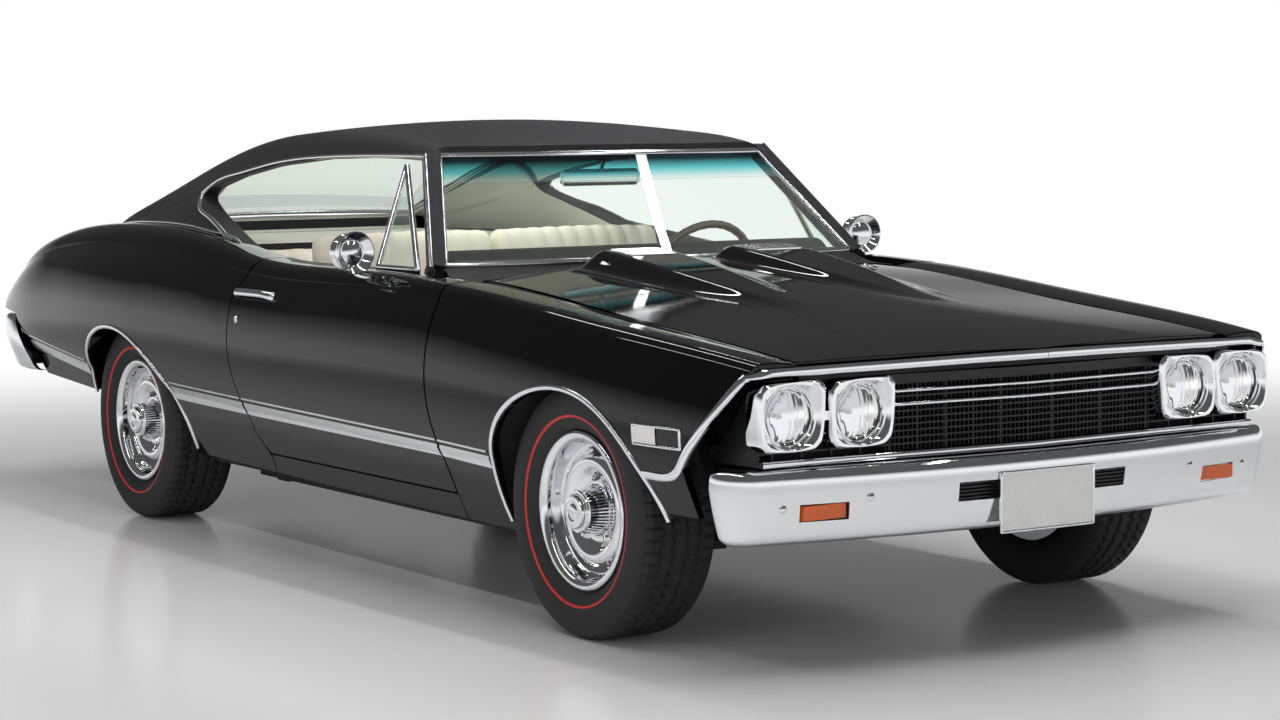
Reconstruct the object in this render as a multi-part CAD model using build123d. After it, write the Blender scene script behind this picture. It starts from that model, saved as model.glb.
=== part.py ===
from build123d import *
import os

# Two-door hardtop muscle car, modelled panel by panel at full size.
#
# Frame: +X is forward, +Y is the car's left, +Z is up. The origin is on the ground, midway along
# the car and on its centre plane. All lengths are millimetres. A half-width is written w: the right
# side of the car is at y = -w and the left side at y = +w.

# Overall sizes
LENGTH = 5006.0
HEIGHT = 1339.0
WHEELBASE = 2845.0
FRONT_OVERHANG = 840.0
TRACK = 1500.0

# Wheels and tyres
TYRE_RADIUS = 332.0
TYRE_WIDTH = 232.0
TREAD_WIDTH = 176.0
GROOVE = 7.0
RIM_RADIUS = 195.0
RIM_WIDTH = 190.0
RIM_LIP = 11.0
RIM_WALL = 14.0
SPINDLE = 20.0
SPINDLE_REACH = 70.0
HUB_DEPTH = 76.0
SPOKES = 5
HUB_RIBS = 20

# Panels and clearances
PANEL_GAP = 6.0
SKIN = 20.0
SEAT_GAP = 0.4
GLASS = 6.0
ROOF_WALL = 34.0
DOOR_INNER_W = 786.0
CABIN_W = 776.0

# Places along the car
FRONT_AXLE = LENGTH / 2 - FRONT_OVERHANG
REAR_AXLE = FRONT_AXLE - WHEELBASE
DOOR_FRONT = 1005.0
DOOR_REAR = -238.0
DOOR_REAR_TOP = -162.0
DOOR_SHOULDER = 800.0
DOOR_BOTTOM = 312.0
COWL = 905.0
LID_FRONT = -1838.0
LID_REAR = -2474.0

# Wheel openings: half length, height above the opening's centre, centre height and place
ARCH_HALF = 398.0
ARCH_RISE = 338.0
ARCH_CENTRE = 312.0
ARCH_AHEAD = 8.0
WELL_RADIUS = 374.0
WELL_INNER_W = 604.0

# Steering and suspension
KINGPIN_W = 672.0
KINGPIN_RADIUS = 24.0
KNUCKLE_LOW = 228.0
KNUCKLE_TOP = 456.0
ARM_DEPTH = 22.0
DIFF_RADIUS = 118.0

# Headlamps: place of each lamp's centre, inner then outer
LAMPS = [(2424.0, 532.0), (2414.0, 733.0)]
LAMP_Z = 629.0
LAMP_RADIUS = 72.0
LENS_CURVE = 151.0

os.makedirs("parts", exist_ok=True)
NODES = {}


def keep(name, *shapes):
    """Registers a piece, made of one or more separate solids, under its node name."""
    solids = [solid for shape in shapes for solid in shape.solids()]
    NODES[name] = solids[0] if len(solids) == 1 else Compound(children=solids)


def both(name, right):
    """Registers a right-hand piece and its mirror image on the left."""
    keep(name + "_right", right)
    keep(name + "_left", flip(right))


def flip(shape):
    """The mirror image of a shape on the other side of the car."""
    return shape.mirror(Plane.XZ)


def box(x0, x1, y0, y1, z0, z1):
    """A box between opposite corners."""
    middle = ((x0 + x1) / 2, (y0 + y1) / 2, (z0 + z1) / 2)
    return Location(middle) * Box(abs(x1 - x0), abs(y1 - y0), abs(z1 - z0))


def side_prism(outline, w0, w1):
    """A side-view outline of (x, z) points, extruded outward from half-width w0 to w1 on the right."""
    face = make_face(Polyline(*[(x, -w0, z) for x, z in outline], close=True))
    return extrude(face, amount=w1 - w0, dir=(0, -1, 0))


def cross_prism(outline, half_width):
    """A side-view outline of (x, z) points, extruded over the width of the car."""
    face = make_face(Polyline(*[(x, half_width, z) for x, z in outline], close=True))
    return extrude(face, amount=2 * half_width, dir=(0, -1, 0))


def plan_prism(outline, z0, z1):
    """A plan outline of (x, y) points, extruded from z0 up to z1."""
    face = make_face(Polyline(*[(x, y, z0) for x, y in outline], close=True))
    return extrude(face, amount=z1 - z0, dir=(0, 0, 1))


def long_prism(outline, x0, x1):
    """A cross-section of (y, z) points, extruded forward from x0 to x1."""
    face = make_face(Polyline(*[(x0, y, z) for y, z in outline], close=True))
    return extrude(face, amount=x1 - x0, dir=(1, 0, 0))


def rod(start, end, radius):
    """A round bar between two points."""
    line = Line(start, end)
    plane = Plane(origin=start, z_dir=line % 0)
    return extrude(plane * Circle(radius), amount=line.length)


def bent_bar(points, width, depth):
    """A rectangular bar that follows a chain of points, mitred at its bends."""
    path = Polyline(*points)
    plane = Plane(origin=points[0], x_dir=(0, 1, 0), z_dir=path % 0)
    return sweep(plane * Rectangle(width, depth), path=path, transition=Transition.RIGHT)


def pipe(points, radius):
    """A round pipe that follows a chain of points, mitred at its bends."""
    path = Polyline(*points)
    plane = Plane(origin=points[0], z_dir=path % 0)
    return sweep(plane * Circle(radius), path=path, transition=Transition.RIGHT)


def arc_bulge(a, b, share):
    """The middle of an arc from a to b that bulges to the left by a share of its chord."""
    dw, dz = b[0] - a[0], b[1] - a[1]
    return ((a[0] + b[0]) / 2 - dz * share, (a[1] + b[1]) / 2 + dw * share)


# Body side, one row for each station from the nose to the tail. Columns: x, then w and z of the top's
# inner edge, of the shoulder's crest, of the side under the shoulder, of the widest line, of the lower
# crease and of the bottom edge.
BODY_SIDE = [
    (2470, (700, 744), (796, 750), (832, 716), (866, 604), (848, 455), (790, 300)),
    (2150, (700, 780), (822, 788), (860, 752), (904, 612), (876, 445), (800, 260)),
    (1663, (700, 824), (836, 832), (876, 793), (925, 628), (884, 432), (802, 236)),
    (1005, (700, 884), (842, 890), (884, 850), (936, 645), (884, 428), (804, 236)),
    (400, (706, 900), (842, 906), (888, 860), (943, 665), (886, 436), (806, 240)),
    (-238, (726, 914), (840, 922), (892, 872), (950, 690), (888, 448), (808, 248)),
    (-560, (744, 956), (822, 962), (886, 906), (954, 695), (887, 456), (808, 252)),
    (-850, (748, 985), (802, 988), (878, 924), (956, 695), (885, 464), (808, 256)),
    (-1182, (735, 994), (786, 996), (868, 930), (955, 695), (881, 477), (806, 264)),
    (-1580, (700, 984), (768, 986), (858, 914), (942, 695), (870, 490), (800, 290)),
    (LID_FRONT, (672, 962), (758, 964), (848, 892), (926, 693), (861, 499), (796, 310)),
    (-2065, (645, 924), (748, 926), (838, 862), (907, 690), (852, 508), (792, 330)),
    (-2340, (612, 850), (722, 850), (800, 800), (862, 682), (828, 522), (784, 365)),
    (-2495, (596, 772), (690, 768), (764, 742), (822, 670), (800, 530), (768, 385)),
]
WALL_FOOT = 34.0
TOP_FLANGE = 30.0


def side_section(row, inset, reach):
    """One closed section of the body side, its outer line moved in by inset and closed reach inboard."""
    x, top, crest, under, widest, crease, bottom = row
    top = (top[0] - reach, top[1] - inset)
    crest = (crest[0] - inset * 0.6, crest[1] - inset)
    under = (under[0] - inset, under[1] - inset * 0.6)
    widest = (widest[0] - inset, widest[1])
    crease = (crease[0] - inset, crease[1])
    bottom = (bottom[0] - inset, bottom[1] - 2 * inset)
    foot = (bottom[0] - WALL_FOOT - reach, bottom[1])
    flange = (top[0], top[1] - TOP_FLANGE)

    def at(point):
        return Vector(x, -point[0], point[1])

    return Wire(
        [
            Edge.make_three_point_arc(at(top), at(arc_bulge(top, crest, 0.03)), at(crest)),
            Edge.make_three_point_arc(at(crest), at(arc_bulge(crest, under, 0.17)), at(under)),
            Edge.make_three_point_arc(at(under), at(widest), at(crease)),
            Edge.make_line(at(crease), at(bottom)),
            Edge.make_line(at(bottom), at(foot)),
            Edge.make_line(at(foot), at(flange)),
            Edge.make_line(at(flange), at(top)),
        ]
    )


def side_wall(inset=0.0, reach=0.0):
    """The right-hand body side as one long loft from nose to tail."""
    return Solid.make_loft([side_section(row, inset, reach) for row in BODY_SIDE])


def top_edge(x):
    """Half-width and height of the body side's inner top edge at a station of the table."""
    return next(row[1] for row in BODY_SIDE if row[0] == x)


def arch_opening(axle):
    """The wheel opening in the outer skin, wider than it is high, as a cutter through the side."""
    plane = Plane(origin=(axle + ARCH_AHEAD, -400, ARCH_CENTRE), x_dir=(1, 0, 0), z_dir=(0, -1, 0))
    return extrude(plane * Ellipse(ARCH_HALF, ARCH_RISE), amount=800)


def wheel_drum(axle, radius, w0, w1):
    """A cylinder about a wheel's axis between two half-widths on the right side."""
    plane = Plane(origin=(axle, -w0, TYRE_RADIUS), x_dir=(1, 0, 0), z_dir=(0, -1, 0))
    return extrude(plane * Circle(radius), amount=w1 - w0)


def build_sides():
    """Fenders, doors, quarter panels and rockers, all cut from the same body side."""
    wall = side_wall()
    half = PANEL_GAP / 2

    # Front fender: a thin skin whose leading edge leans back from the lamps to the bumper
    fender_outline = [
        (DOOR_FRONT + half, 1000),
        (2416, 1000),
        (2410, 748),
        (2372, 700),
        (2322, 637),
        (2250, 562),
        (2206, 502),
        (2206, 374),
        (1880, 374),
        (1880, 150),
        (DOOR_FRONT + half, 150),
    ]
    skin = wall - side_wall(inset=SKIN, reach=120)
    fender = skin & side_prism(fender_outline, 500, 1000)
    both("fender", fender - arch_opening(FRONT_AXLE))

    # Door: as thick as the whole wall; its rear edge closes in toward the cabin and leans forward on top
    lean = 0.09
    outlines = []
    for w in (DOOR_INNER_W, 1000):
        shift = (960 - w) * lean
        outline = [
            (DOOR_FRONT - half, DOOR_BOTTOM),
            (DOOR_FRONT - half, 1000),
            (DOOR_REAR_TOP + 50 + shift, 1000),
            (DOOR_REAR_TOP + shift, 912),
            (DOOR_REAR + half + shift, DOOR_SHOULDER),
            (DOOR_REAR + half + shift, DOOR_BOTTOM + 60),
            (DOOR_REAR + 60 + shift, DOOR_BOTTOM),
        ]
        outlines.append(Wire.make_polygon([(x, -w, z) for x, z in outline]))
    door = wall & Solid.make_loft(outlines, ruled=True)
    both("door", door)

    # Rocker under the door, between the two wheel openings
    sill = DOOR_BOTTOM - PANEL_GAP
    front = DOOR_FRONT + half - SEAT_GAP
    rocker_outline = [(front, 150), (front, sill), (DOOR_REAR + 62, sill), (DOOR_REAR + 30, 150)]
    rocker = wall & side_prism(rocker_outline, 500, 1000)

    # Quarter panel: the wall behind the door, with its wheel well and wheelhouse
    quarter_outline = [
        (DOOR_REAR_TOP + 30, 1060),
        (DOOR_REAR_TOP - PANEL_GAP - 4, 912),
        (DOOR_REAR - half, DOOR_SHOULDER),
        (DOOR_REAR - half, DOOR_BOTTOM + 60),
        (DOOR_REAR + 54, sill),
        (DOOR_REAR + 28, 150),
        (-1300, 150),
        (-1300, 396),
        (-2066, 432),
        (-2222, 648),
        (-2436, 652),
        (-2478, 762),
        (-2478, 1060),
    ]
    house = wheel_drum(REAR_AXLE, WELL_RADIUS + SKIN, WELL_INNER_W - SKIN, 800)
    house -= box(-3000, 0, -1000, 0, -200, 430)
    quarter = (wall & side_prism(quarter_outline, 500, 1000)) + house
    quarter -= wheel_drum(REAR_AXLE, WELL_RADIUS, WELL_INNER_W, 896)
    both("quarter", quarter - arch_opening(REAR_AXLE))
    return wall, door, rocker


# Roof and sail panels. Columns: x, then w and z of the base, the drip rail and the roof's shoulder,
# then z on the centre line.
ROOF = [
    (520, (736, 900), (588, 1222), (535, 1246), 1260),
    (160, (766, 900), (624, 1244), (560, 1292), 1318),
    (-160, (780, 905), (640, 1240), (566, 1304), HEIGHT),
    (-460, (785, 930), (648, 1218), (566, 1298), HEIGHT - 9),
    (-800, (785, 960), (652, 1172), (565, 1260), 1296),
    (-1160, (775, 965), (654, 1092), (562, 1184), 1214),
    (-1540, (745, 955), (648, 1020), (556, 1085), 1106),
    (-1832, (690, 925), (632, 970), (550, 990), 1000),
]
# Windscreen, lower and upper edge: x, w and z of the corner, x on the centre line.
# Rear window, lower and upper edge: x, w and z of the corner, z on the centre line.
SCREEN_LOW = (747.0, 722.0, 922.0, 842.0)
SCREEN_TOP = (453.0, 574.0, 1238.0, 509.0)
BACK_LOW = (-1790.0, 538.8, 992.0, 1002.0)
BACK_TOP = (-982.0, 503.8, 1222.0, 1254.0)


def roof_section(row, inset):
    """One closed section of the roof, from base to base over the crown, moved in by inset."""
    x, base, drip, shoulder, crown = row
    base = (base[0] - inset, base[1] - 3 * inset)
    drip = (drip[0] - inset, drip[1] - inset * 0.5)
    shoulder = (shoulder[0] - inset * 0.7, shoulder[1] - inset)
    corner = arc_bulge(drip, shoulder, -0.12)

    def at(side, point):
        return Vector(x, side * point[0], point[1])

    top = Vector(x, 0, crown - inset)
    right, left = -1, 1
    return Wire(
        [
            Edge.make_line(at(right, base), at(right, drip)),
            Edge.make_three_point_arc(at(right, drip), at(right, corner), at(right, shoulder)),
            Edge.make_three_point_arc(at(right, shoulder), top, at(left, shoulder)),
            Edge.make_three_point_arc(at(left, shoulder), at(left, corner), at(left, drip)),
            Edge.make_line(at(left, drip), at(left, base)),
            Edge.make_line(at(left, base), at(right, base)),
        ]
    )


def screen_strip(edge, room=0.0):
    """A level section through the windscreen, bowed forward in the middle, with room left around it."""
    x, w, z, x_mid = edge
    back = x - GLASS - room
    x, w, x_mid = x + room, w + room, x_mid + room
    return Wire(
        [
            Edge.make_three_point_arc((x, -w, z), (x_mid, 0, z), (x, w, z)),
            Edge.make_line((x, w, z), (back, w, z)),
            Edge.make_three_point_arc((back, w, z), (x_mid - GLASS - 2 * room, 0, z), (back, -w, z)),
            Edge.make_line((back, -w, z), (x, -w, z)),
        ]
    )


def back_strip(edge):
    """An upright section across the rear window, crowned in the middle."""
    x, w, z, z_mid = edge
    low = z - GLASS
    return Wire(
        [
            Edge.make_three_point_arc((x, -w, z), (x, 0, z_mid), (x, w, z)),
            Edge.make_line((x, w, z), (x, w, low)),
            Edge.make_three_point_arc((x, w, low), (x, 0, z_mid - GLASS), (x, -w, low)),
            Edge.make_line((x, -w, low), (x, -w, z)),
        ]
    )


def build_glasshouse(wall):
    """Roof with its pillars and sail panels, windscreen and rear window."""
    roof = Solid.make_loft([roof_section(row, 0) for row in ROOF])
    roof -= Solid.make_loft([roof_section(row, ROOF_WALL) for row in ROOF])
    window_outline = [
        (560, 820),
        (560, 1222),
        (160, 1226),
        (-160, 1220),
        (-500, 1196),
        (-760, 1160),
        (-950, 1120),
        (-990, 1098),
        (-960, 1078),
        (-822, 1036),
        (-579, 965),
        (-336, 895),
        (-300, 820),
    ]
    roof -= cross_prism(window_outline, 1000)
    # The roof's front edge follows the top of the bent windscreen
    header = [(700, -700), (700, 700), (443, 700), (443, 580), (485, 290), (499, 0), (485, -290), (443, -580), (443, -700)]
    roof -= plan_prism(header, 800, 1400)
    roof -= plan_prism([(-976, -504), (-976, 504), (-1900, 544), (-1900, -544)], 800, 1400)
    low_x, low_w, low_z = SCREEN_LOW[:3]
    top_x, top_w, top_z = SCREEN_TOP[:3]
    for side in (-1, 1):
        start = (low_x - 12, side * (low_w + 22), low_z - 12)
        end = (top_x - 18, side * (top_w + 15), top_z - 2)
        plane = Plane(origin=start, x_dir=(0, 1, 0), z_dir=Vector(*end) - Vector(*start))
        roof += extrude(plane * Rectangle(40, 50), amount=Line(start, end).length)
    rows = (SCREEN_LOW, SCREEN_TOP)
    rebate = Solid.make_loft([screen_strip(row, SEAT_GAP) for row in rows], ruled=True)
    keep("roof", roof - wall - flip(wall) - rebate)
    keep("windscreen", Solid.make_loft([screen_strip(row) for row in rows], ruled=True))
    keep("rear_window", Solid.make_loft([back_strip(BACK_LOW), back_strip(BACK_TOP)], ruled=True))


# Hood. Columns: x, w and z of the plateau's crease, z on the centre line
HOOD_EDGE = {2470: 744, 2150: 780, 1663: 824, 1005: 884}
HOOD = [
    (2470, (486, 752), 757),
    (2150, (372, 794), 802),
    (1663, (282, 846), 856),
    (1005, (258, 912), 922),
    (COWL, (256, 920), 930),
]
HOOD_DEPTH = 24.0
HOOD_W = 690.0
# Power bulges. Columns: x, half width, height above the plateau
BULGE = [(1660, 56, 3), (1430, 90, 20), (1180, 104, 34), (960, 108, 40)]
BULGE_CENTRE = 222.0


def hood_section(row):
    """One closed section of the hood: two slopes up to the plateau and a shallow crown between."""
    x, crease, crown = row
    edge = (HOOD_W, top_edge(x)[1] if x in HOOD_EDGE else top_edge(1005)[1] + 3)
    low_edge = (edge[0], edge[1] - HOOD_DEPTH)

    def at(side, point):
        return Vector(x, side * point[0], point[1])

    right, left = -1, 1
    return Wire(
        [
            Edge.make_line(at(right, edge), at(right, crease)),
            Edge.make_three_point_arc(at(right, crease), Vector(x, 0, crown), at(left, crease)),
            Edge.make_line(at(left, crease), at(left, edge)),
            Edge.make_line(at(left, edge), at(left, low_edge)),
            Edge.make_three_point_arc(at(left, low_edge), Vector(x, 0, crown - HOOD_DEPTH), at(right, low_edge)),
            Edge.make_line(at(right, low_edge), at(right, edge)),
        ]
    )


def hood_height(x):
    """Height of the hood's centre line, by straight steps between the rows."""
    ahead = min((row for row in HOOD if row[0] >= x), key=lambda row: row[0])
    behind = max((row for row in HOOD if row[0] <= x), key=lambda row: row[0])
    span = ahead[0] - behind[0]
    share = (ahead[0] - x) / span if span else 0
    return ahead[2] + (behind[2] - ahead[2]) * share


def build_hood():
    """Hood with its plateau and two power bulges; its front edge comes to a shallow point."""
    hood = Solid.make_loft([hood_section(row) for row in HOOD])
    front = [(2600, -900), (2388, -900), (2388, -HOOD_W), (2422, -400), (2466, 0), (2422, 400), (2388, HOOD_W), (2388, 900)]
    hood -= plan_prism([*front, (2600, 900)], 600, 900)
    sections = []
    for x, half, height in BULGE:
        z = hood_height(x) - 16
        foot = [Vector(x, -BULGE_CENTRE - half, z), Vector(x, -BULGE_CENTRE + half, z)]
        crest = Vector(x, -BULGE_CENTRE, z + height + 12)
        sections.append(Wire([Edge.make_three_point_arc(foot[0], crest, foot[1]), Edge.make_line(foot[1], foot[0])]))
    bulge = Solid.make_loft(sections)
    keep("hood", hood + bulge + flip(bulge))


# Trunk lid. Columns: x, height of the centre line above the side edges
LID = [(LID_FRONT, 26), (-2065, 24), (-2340, 20), (-2495, 16)]
LID_DEPTH = 22.0
LID_LIP = 752.0


def build_lid():
    """Trunk lid with a turned-down rear lip."""
    sections = []
    for x, rise in LID:
        w, z = top_edge(x)
        w -= PANEL_GAP
        corners = [Vector(x, side * w, z - drop) for side, drop in ((-1, 0), (1, 0), (1, LID_DEPTH), (-1, LID_DEPTH))]
        crown = Vector(x, 0, z + rise)
        hollow = Vector(x, 0, z + rise - LID_DEPTH)
        sections.append(
            Wire(
                [
                    Edge.make_three_point_arc(corners[0], crown, corners[1]),
                    Edge.make_line(corners[1], corners[2]),
                    Edge.make_three_point_arc(corners[2], hollow, corners[3]),
                    Edge.make_line(corners[3], corners[0]),
                ]
            )
        )
    lid = Solid.make_loft(sections)
    lid -= box(-2600, LID_REAR, -900, 900, 600, 1100)
    lid -= box(LID_FRONT - 4, LID_FRONT + 100, -900, 900, 600, 1100)
    lid += box(LID_REAR, LID_REAR + 16, -560, 560, LID_LIP, LID_LIP + 38)
    keep("trunk_lid", lid)


def build_nose():
    """Brow over the grille, the grille, the headlamps and their bezels."""
    end = top_edge(2470)[0] - SEAT_GAP
    brow_rows = [(-end, 2420, 746), (-400, 2452, 751), (0, 2500, 757), (400, 2452, 751), (end, 2420, 746)]
    sections = []
    for y, x, z in brow_rows:
        points = [(x, z), (x - 4, z - 32), (x - 26, z - 32), (x - 26, z - 2)]
        sections.append(Wire.make_polygon([(px, y, pz) for px, pz in points]))
    brow = Solid.make_loft(sections, ruled=True)
    keep("nose_panel", brow - NODES["fender_right"] - NODES["fender_left"])

    # Grille: slats, bright bars and uprights, all coming to the same shallow point in plan
    def vee(front, depth, w, z0, z1):
        slope = 0.055 * w
        plan = [(front, 0), (front - slope, -w), (front - slope - depth, -w), (front - depth, 0)]
        plan += [(front - slope - depth, w), (front - slope, w)]
        return plan_prism(plan, z0, z1)

    grille = vee(2444, 30, 800, 510, 524) + vee(2430, 20, 800, 688, 712)
    for z in (540, 556, 572, 588, 604, 620, 656):
        grille += vee(2432, 16, 800, z, z + 4)
    for z in (636, 669):
        grille += vee(2442, 22, 440, z, z + 8)
    for step in range(-9, 10):
        y = step * 84
        x = 2428 - 0.055 * abs(y)
        grille += box(x - 10, x, y - 2.5, y + 2.5, 520, 692)
    end = side_prism([(2384, 700), (2384, 510), (2196, 510), (2330, 660)], 792, 800)
    grille = grille + end + flip(end)
    # No slats run between the two lamps of a pair
    (x_in, w_in), (x_out, w_out) = LAMPS
    for side in (-1, 1):
        grille -= box(x_out - 100, x_in + 20, side * w_in, side * w_out, LAMP_Z - LAMP_RADIUS, LAMP_Z + LAMP_RADIUS)
    bezels, lenses = [], []
    for x, w in LAMPS:
        for side in (-1, 1):
            y = side * w
            base = Plane(origin=(x - 70, y, LAMP_Z), z_dir=(1, 0, 0))
            corners = [(y + side * 92, -80), (y - side * 90, -80), (y - side * 102, 86), (y + side * 92, 80)]
            face = make_face(Polyline(*[(x - 14, cy, LAMP_Z + cz) for cy, cz in corners], close=True))
            plate = fillet(extrude(face, amount=36, dir=(1, 0, 0)).edges().filter_by(Axis.X), 18)
            cup = extrude(base * Circle(LAMP_RADIUS + 6), amount=60)
            grille -= extrude(face, amount=36, dir=(1, 0, 0)) + extrude(base * Circle(LAMP_RADIUS + 7), amount=60)
            bezels.append(plate + cup - extrude(base * Circle(LAMP_RADIUS), amount=200))
            disc = extrude(Plane(origin=(x - 20, y, LAMP_Z), z_dir=(1, 0, 0)) * Circle(LAMP_RADIUS - SEAT_GAP), amount=60)
            lenses.append(disc & Location((x + 20 - LENS_CURVE, y, LAMP_Z), (0, 90, 0)) * Sphere(LENS_CURVE))
    keep("grille", grille)
    keep("headlamp_bezels", *bezels)
    keep("headlamp_lenses", *lenses)


# Bumpers in plan at four heights. Columns: z, x in the middle, x and w of the corner, x and w of the end
FRONT_BUMPER = [
    (505, 2440, (2372, 800), (2316, 850)),
    (490, 2494, (2406, 812), (2304, 874)),
    (450, LENGTH / 2, (2412, 816), (2300, 880)),
    (325, 2478, (2390, 806), (2310, 870)),
]
REAR_BUMPER = [
    (640, 2462, (2410, 770), (2232, 862)),
    (622, 2496, (2440, 780), (2222, 878)),
    (560, LENGTH / 2, (2446, 784), (2178, 892)),
    (440, 2470, (2420, 776), (2092, 880)),
]
BUMPER_DEPTH = 34.0
PLATE_SPACING = 178.0
PLATE_HOLE = 3.5
PLATE_Z = 390.0
SLOT = (131, 268, 396, 446)
TURN_LAMP = (575, 700, 380, 416)


def bumper_band(row):
    """A bumper's closed outline in plan at one height: round the outside and back along the inside."""
    z, x_mid, (x_corner, w_corner), (x_end, w_end) = row
    d = BUMPER_DEPTH
    turn = (x_corner - 0.28 * (x_corner - x_end), w_corner + 0.72 * (w_end - w_corner))

    def run(shift):
        end = (x_end, w_end - shift)
        bend = (turn[0] - shift * 0.6, turn[1] - shift * 0.8)
        corner = (x_corner - shift, w_corner - shift * 0.4)
        right = [Vector(x, -w, z) for x, w in (end, bend, corner)]
        left = [Vector(x, w, z) for x, w in (corner, bend, end)]
        return right, Vector(x_mid - shift, 0, z), left

    right, middle, left = run(0)
    in_right, in_middle, in_left = run(d)
    return Wire(
        [
            Edge.make_three_point_arc(*right),
            Edge.make_three_point_arc(right[2], middle, left[0]),
            Edge.make_three_point_arc(*left),
            Edge.make_line(left[2], in_left[2]),
            Edge.make_three_point_arc(*reversed(in_left)),
            Edge.make_three_point_arc(in_left[0], in_middle, in_right[2]),
            Edge.make_three_point_arc(*reversed(in_right)),
            Edge.make_line(in_right[0], right[0]),
        ]
    )


def build_bumpers():
    """Front bumper with air slots, lamp recesses and plate holes; rear bumper; turn lamps."""
    front = Solid.make_loft([bumper_band(row) for row in FRONT_BUMPER], ruled=True)
    lamps = []
    for side in (-1, 1):
        y0, y1, z0, z1 = SLOT
        front -= box(2300, 2600, side * y0, side * y1, z0, z1)
        y0, y1, z0, z1 = TURN_LAMP
        front -= box(2300, 2600, side * y0, side * y1, z0, z1)
        lamp = box(2404, 2436, side * (y0 + SEAT_GAP), side * (y1 - SEAT_GAP), z0 + SEAT_GAP, z1 - SEAT_GAP)
        lamps.append(lamp)
        hole = Plane(origin=(2300, side * PLATE_SPACING / 2, PLATE_Z), z_dir=(1, 0, 0))
        front -= extrude(hole * Circle(PLATE_HOLE), amount=300)
    keep("front_bumper", front)
    keep("turn_lamps", *lamps)
    rear = Solid.make_loft([bumper_band(row) for row in REAR_BUMPER], ruled=True)
    keep("rear_bumper", rear.mirror(Plane.YZ))


TAIL_LAMP = (400, 736, 664, 738)


def build_tail(wall):
    """Tail panel between the quarters, stepped in behind the bumper, with a lamp on each side."""
    top = LID_LIP - SEAT_GAP
    outline = [
        (-2470, top),
        (-2470, 660),
        (-2394, 654),
        (-2394, 470),
        (-2378, 470),
        (-2378, 670),
        (-2454, 676),
        (-2454, top),
    ]
    panel = cross_prism(outline, 748) - wall - flip(wall)
    for side in (-1, 1):
        panel -= box(-2600, -2300, side * 600, side * 900, 400, 652)
    keep("tail_panel", panel)
    y0, y1, z0, z1 = TAIL_LAMP
    lamps = [box(-2488, -2470 - SEAT_GAP, side * y0, side * y1, z0, z1) for side in (-1, 1)]
    keep("tail_lamps", *lamps)


DOOR_HINGES = (430.0, 720.0)
HINGE_W = 850.0
FLOOR_Z = 252.0
TOE = 1020.0
FLOOR_T = 20.0
BOOT_FLOOR = 500.0
TUNNEL_RADIUS = 160.0
TUNNEL_Z = 300.0


def build_floor(rocker):
    """Floor with its tunnel and rockers, boot floor, rear deck, firewall and cowl."""
    low = FLOOR_Z - FLOOR_T
    profile = [
        (TOE, FLOOR_Z),
        (-700, FLOOR_Z),
        (-760, BOOT_FLOOR),
        (-2378 + SEAT_GAP, BOOT_FLOOR),
        (-2378 + SEAT_GAP, BOOT_FLOOR - FLOOR_T),
        (-776, BOOT_FLOOR - FLOOR_T),
        (-716, low),
        (TOE, low),
    ]
    floor = cross_prism(profile, CABIN_W)
    for side in (-1, 1):
        floor -= box(-2600, -700, side * 582, side * 900, 0, 700)
    tunnel = [Plane(origin=(-705, 0, TUNNEL_Z), z_dir=(1, 0, 0)) * Circle(TUNNEL_RADIUS - gap) for gap in (0, FLOOR_T)]
    length = 1870
    legs = [box(-705, -705 + length, -r, r, low, TUNNEL_Z) for r in (TUNNEL_RADIUS, TUNNEL_RADIUS - FLOOR_T)]
    outer = extrude(tunnel[0], amount=length) & box(-705, -705 + length, -400, 400, TUNNEL_Z, 900)
    inner = extrude(tunnel[1], amount=length) & box(-705, -705 + length, -400, 400, TUNNEL_Z, 900)
    floor = floor + outer + legs[0] - inner - legs[1] - box(-820, -680, -60, 60, 100, 392)
    floor = floor + rocker + flip(rocker)
    keep("floor_pan", floor - NODES["quarter_right"] - NODES["quarter_left"])

    deck = cross_prism([(-878, 930), (-1745, 930), (-1745, 976), (-1828, 968), (-1828, 946), (-1765, 952), (-1765, 912), (-893, 912), (-782, BOOT_FLOOR + SEAT_GAP), (-762, BOOT_FLOOR + SEAT_GAP)], 668)
    deck -= box(-3000, -1700, -900, -542, 900, 1100) + box(-3000, -1700, 542, 900, 900, 1100)
    for side in (-1, 1):
        deck -= box(-1700, -700, side * 582, side * 900, 0, 740)
    keep("rear_deck", deck - NODES["roof"])

    cowl_outline = [
        (1136, 520),
        (TOE + SEAT_GAP, FLOOR_Z),
        (TOE + SEAT_GAP, low),
        (TOE + 14, low),
        (1158, 520),
        (1158, 846),
        (898, 846),
        (898, 882),
        (732, 882),
        (732, 862),
        (874, 862),
        (874, 826),
        (1136, 826),
    ]
    cowl = cross_prism(cowl_outline, CABIN_W)
    pillar = side_prism([(1014, 256), (1024, 256), (1138, 520), (1158, 520), (1158, 846), (1014, 846)], 744, CABIN_W)
    cowl += pillar + flip(pillar)
    face = DOOR_FRONT - PANEL_GAP / 2 + SEAT_GAP
    for side in (-1, 1):
        for z in DOOR_HINGES:
            cowl += box(face, 1050, side * (CABIN_W - 10), side * HINGE_W, z - 34, z + 34)
        cowl += box(COWL + 20, COWL + 80, side * 590, side * 650, 840, 880) - Location((0, 0, -SEAT_GAP)) * NODES["hood"]
    room = TUNNEL_RADIUS + SEAT_GAP
    cowl -= extrude(Plane(origin=(1000, 0, TUNNEL_Z), z_dir=(1, 0, 0)) * Circle(room), amount=200)
    cowl -= box(1000, 1200, -room, room, 100, TUNNEL_Z)
    keep("firewall_cowl", cowl - NODES["floor_pan"])


EXHAUST_Z = 155.0
EXHAUST_RADIUS = 27.0


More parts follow.
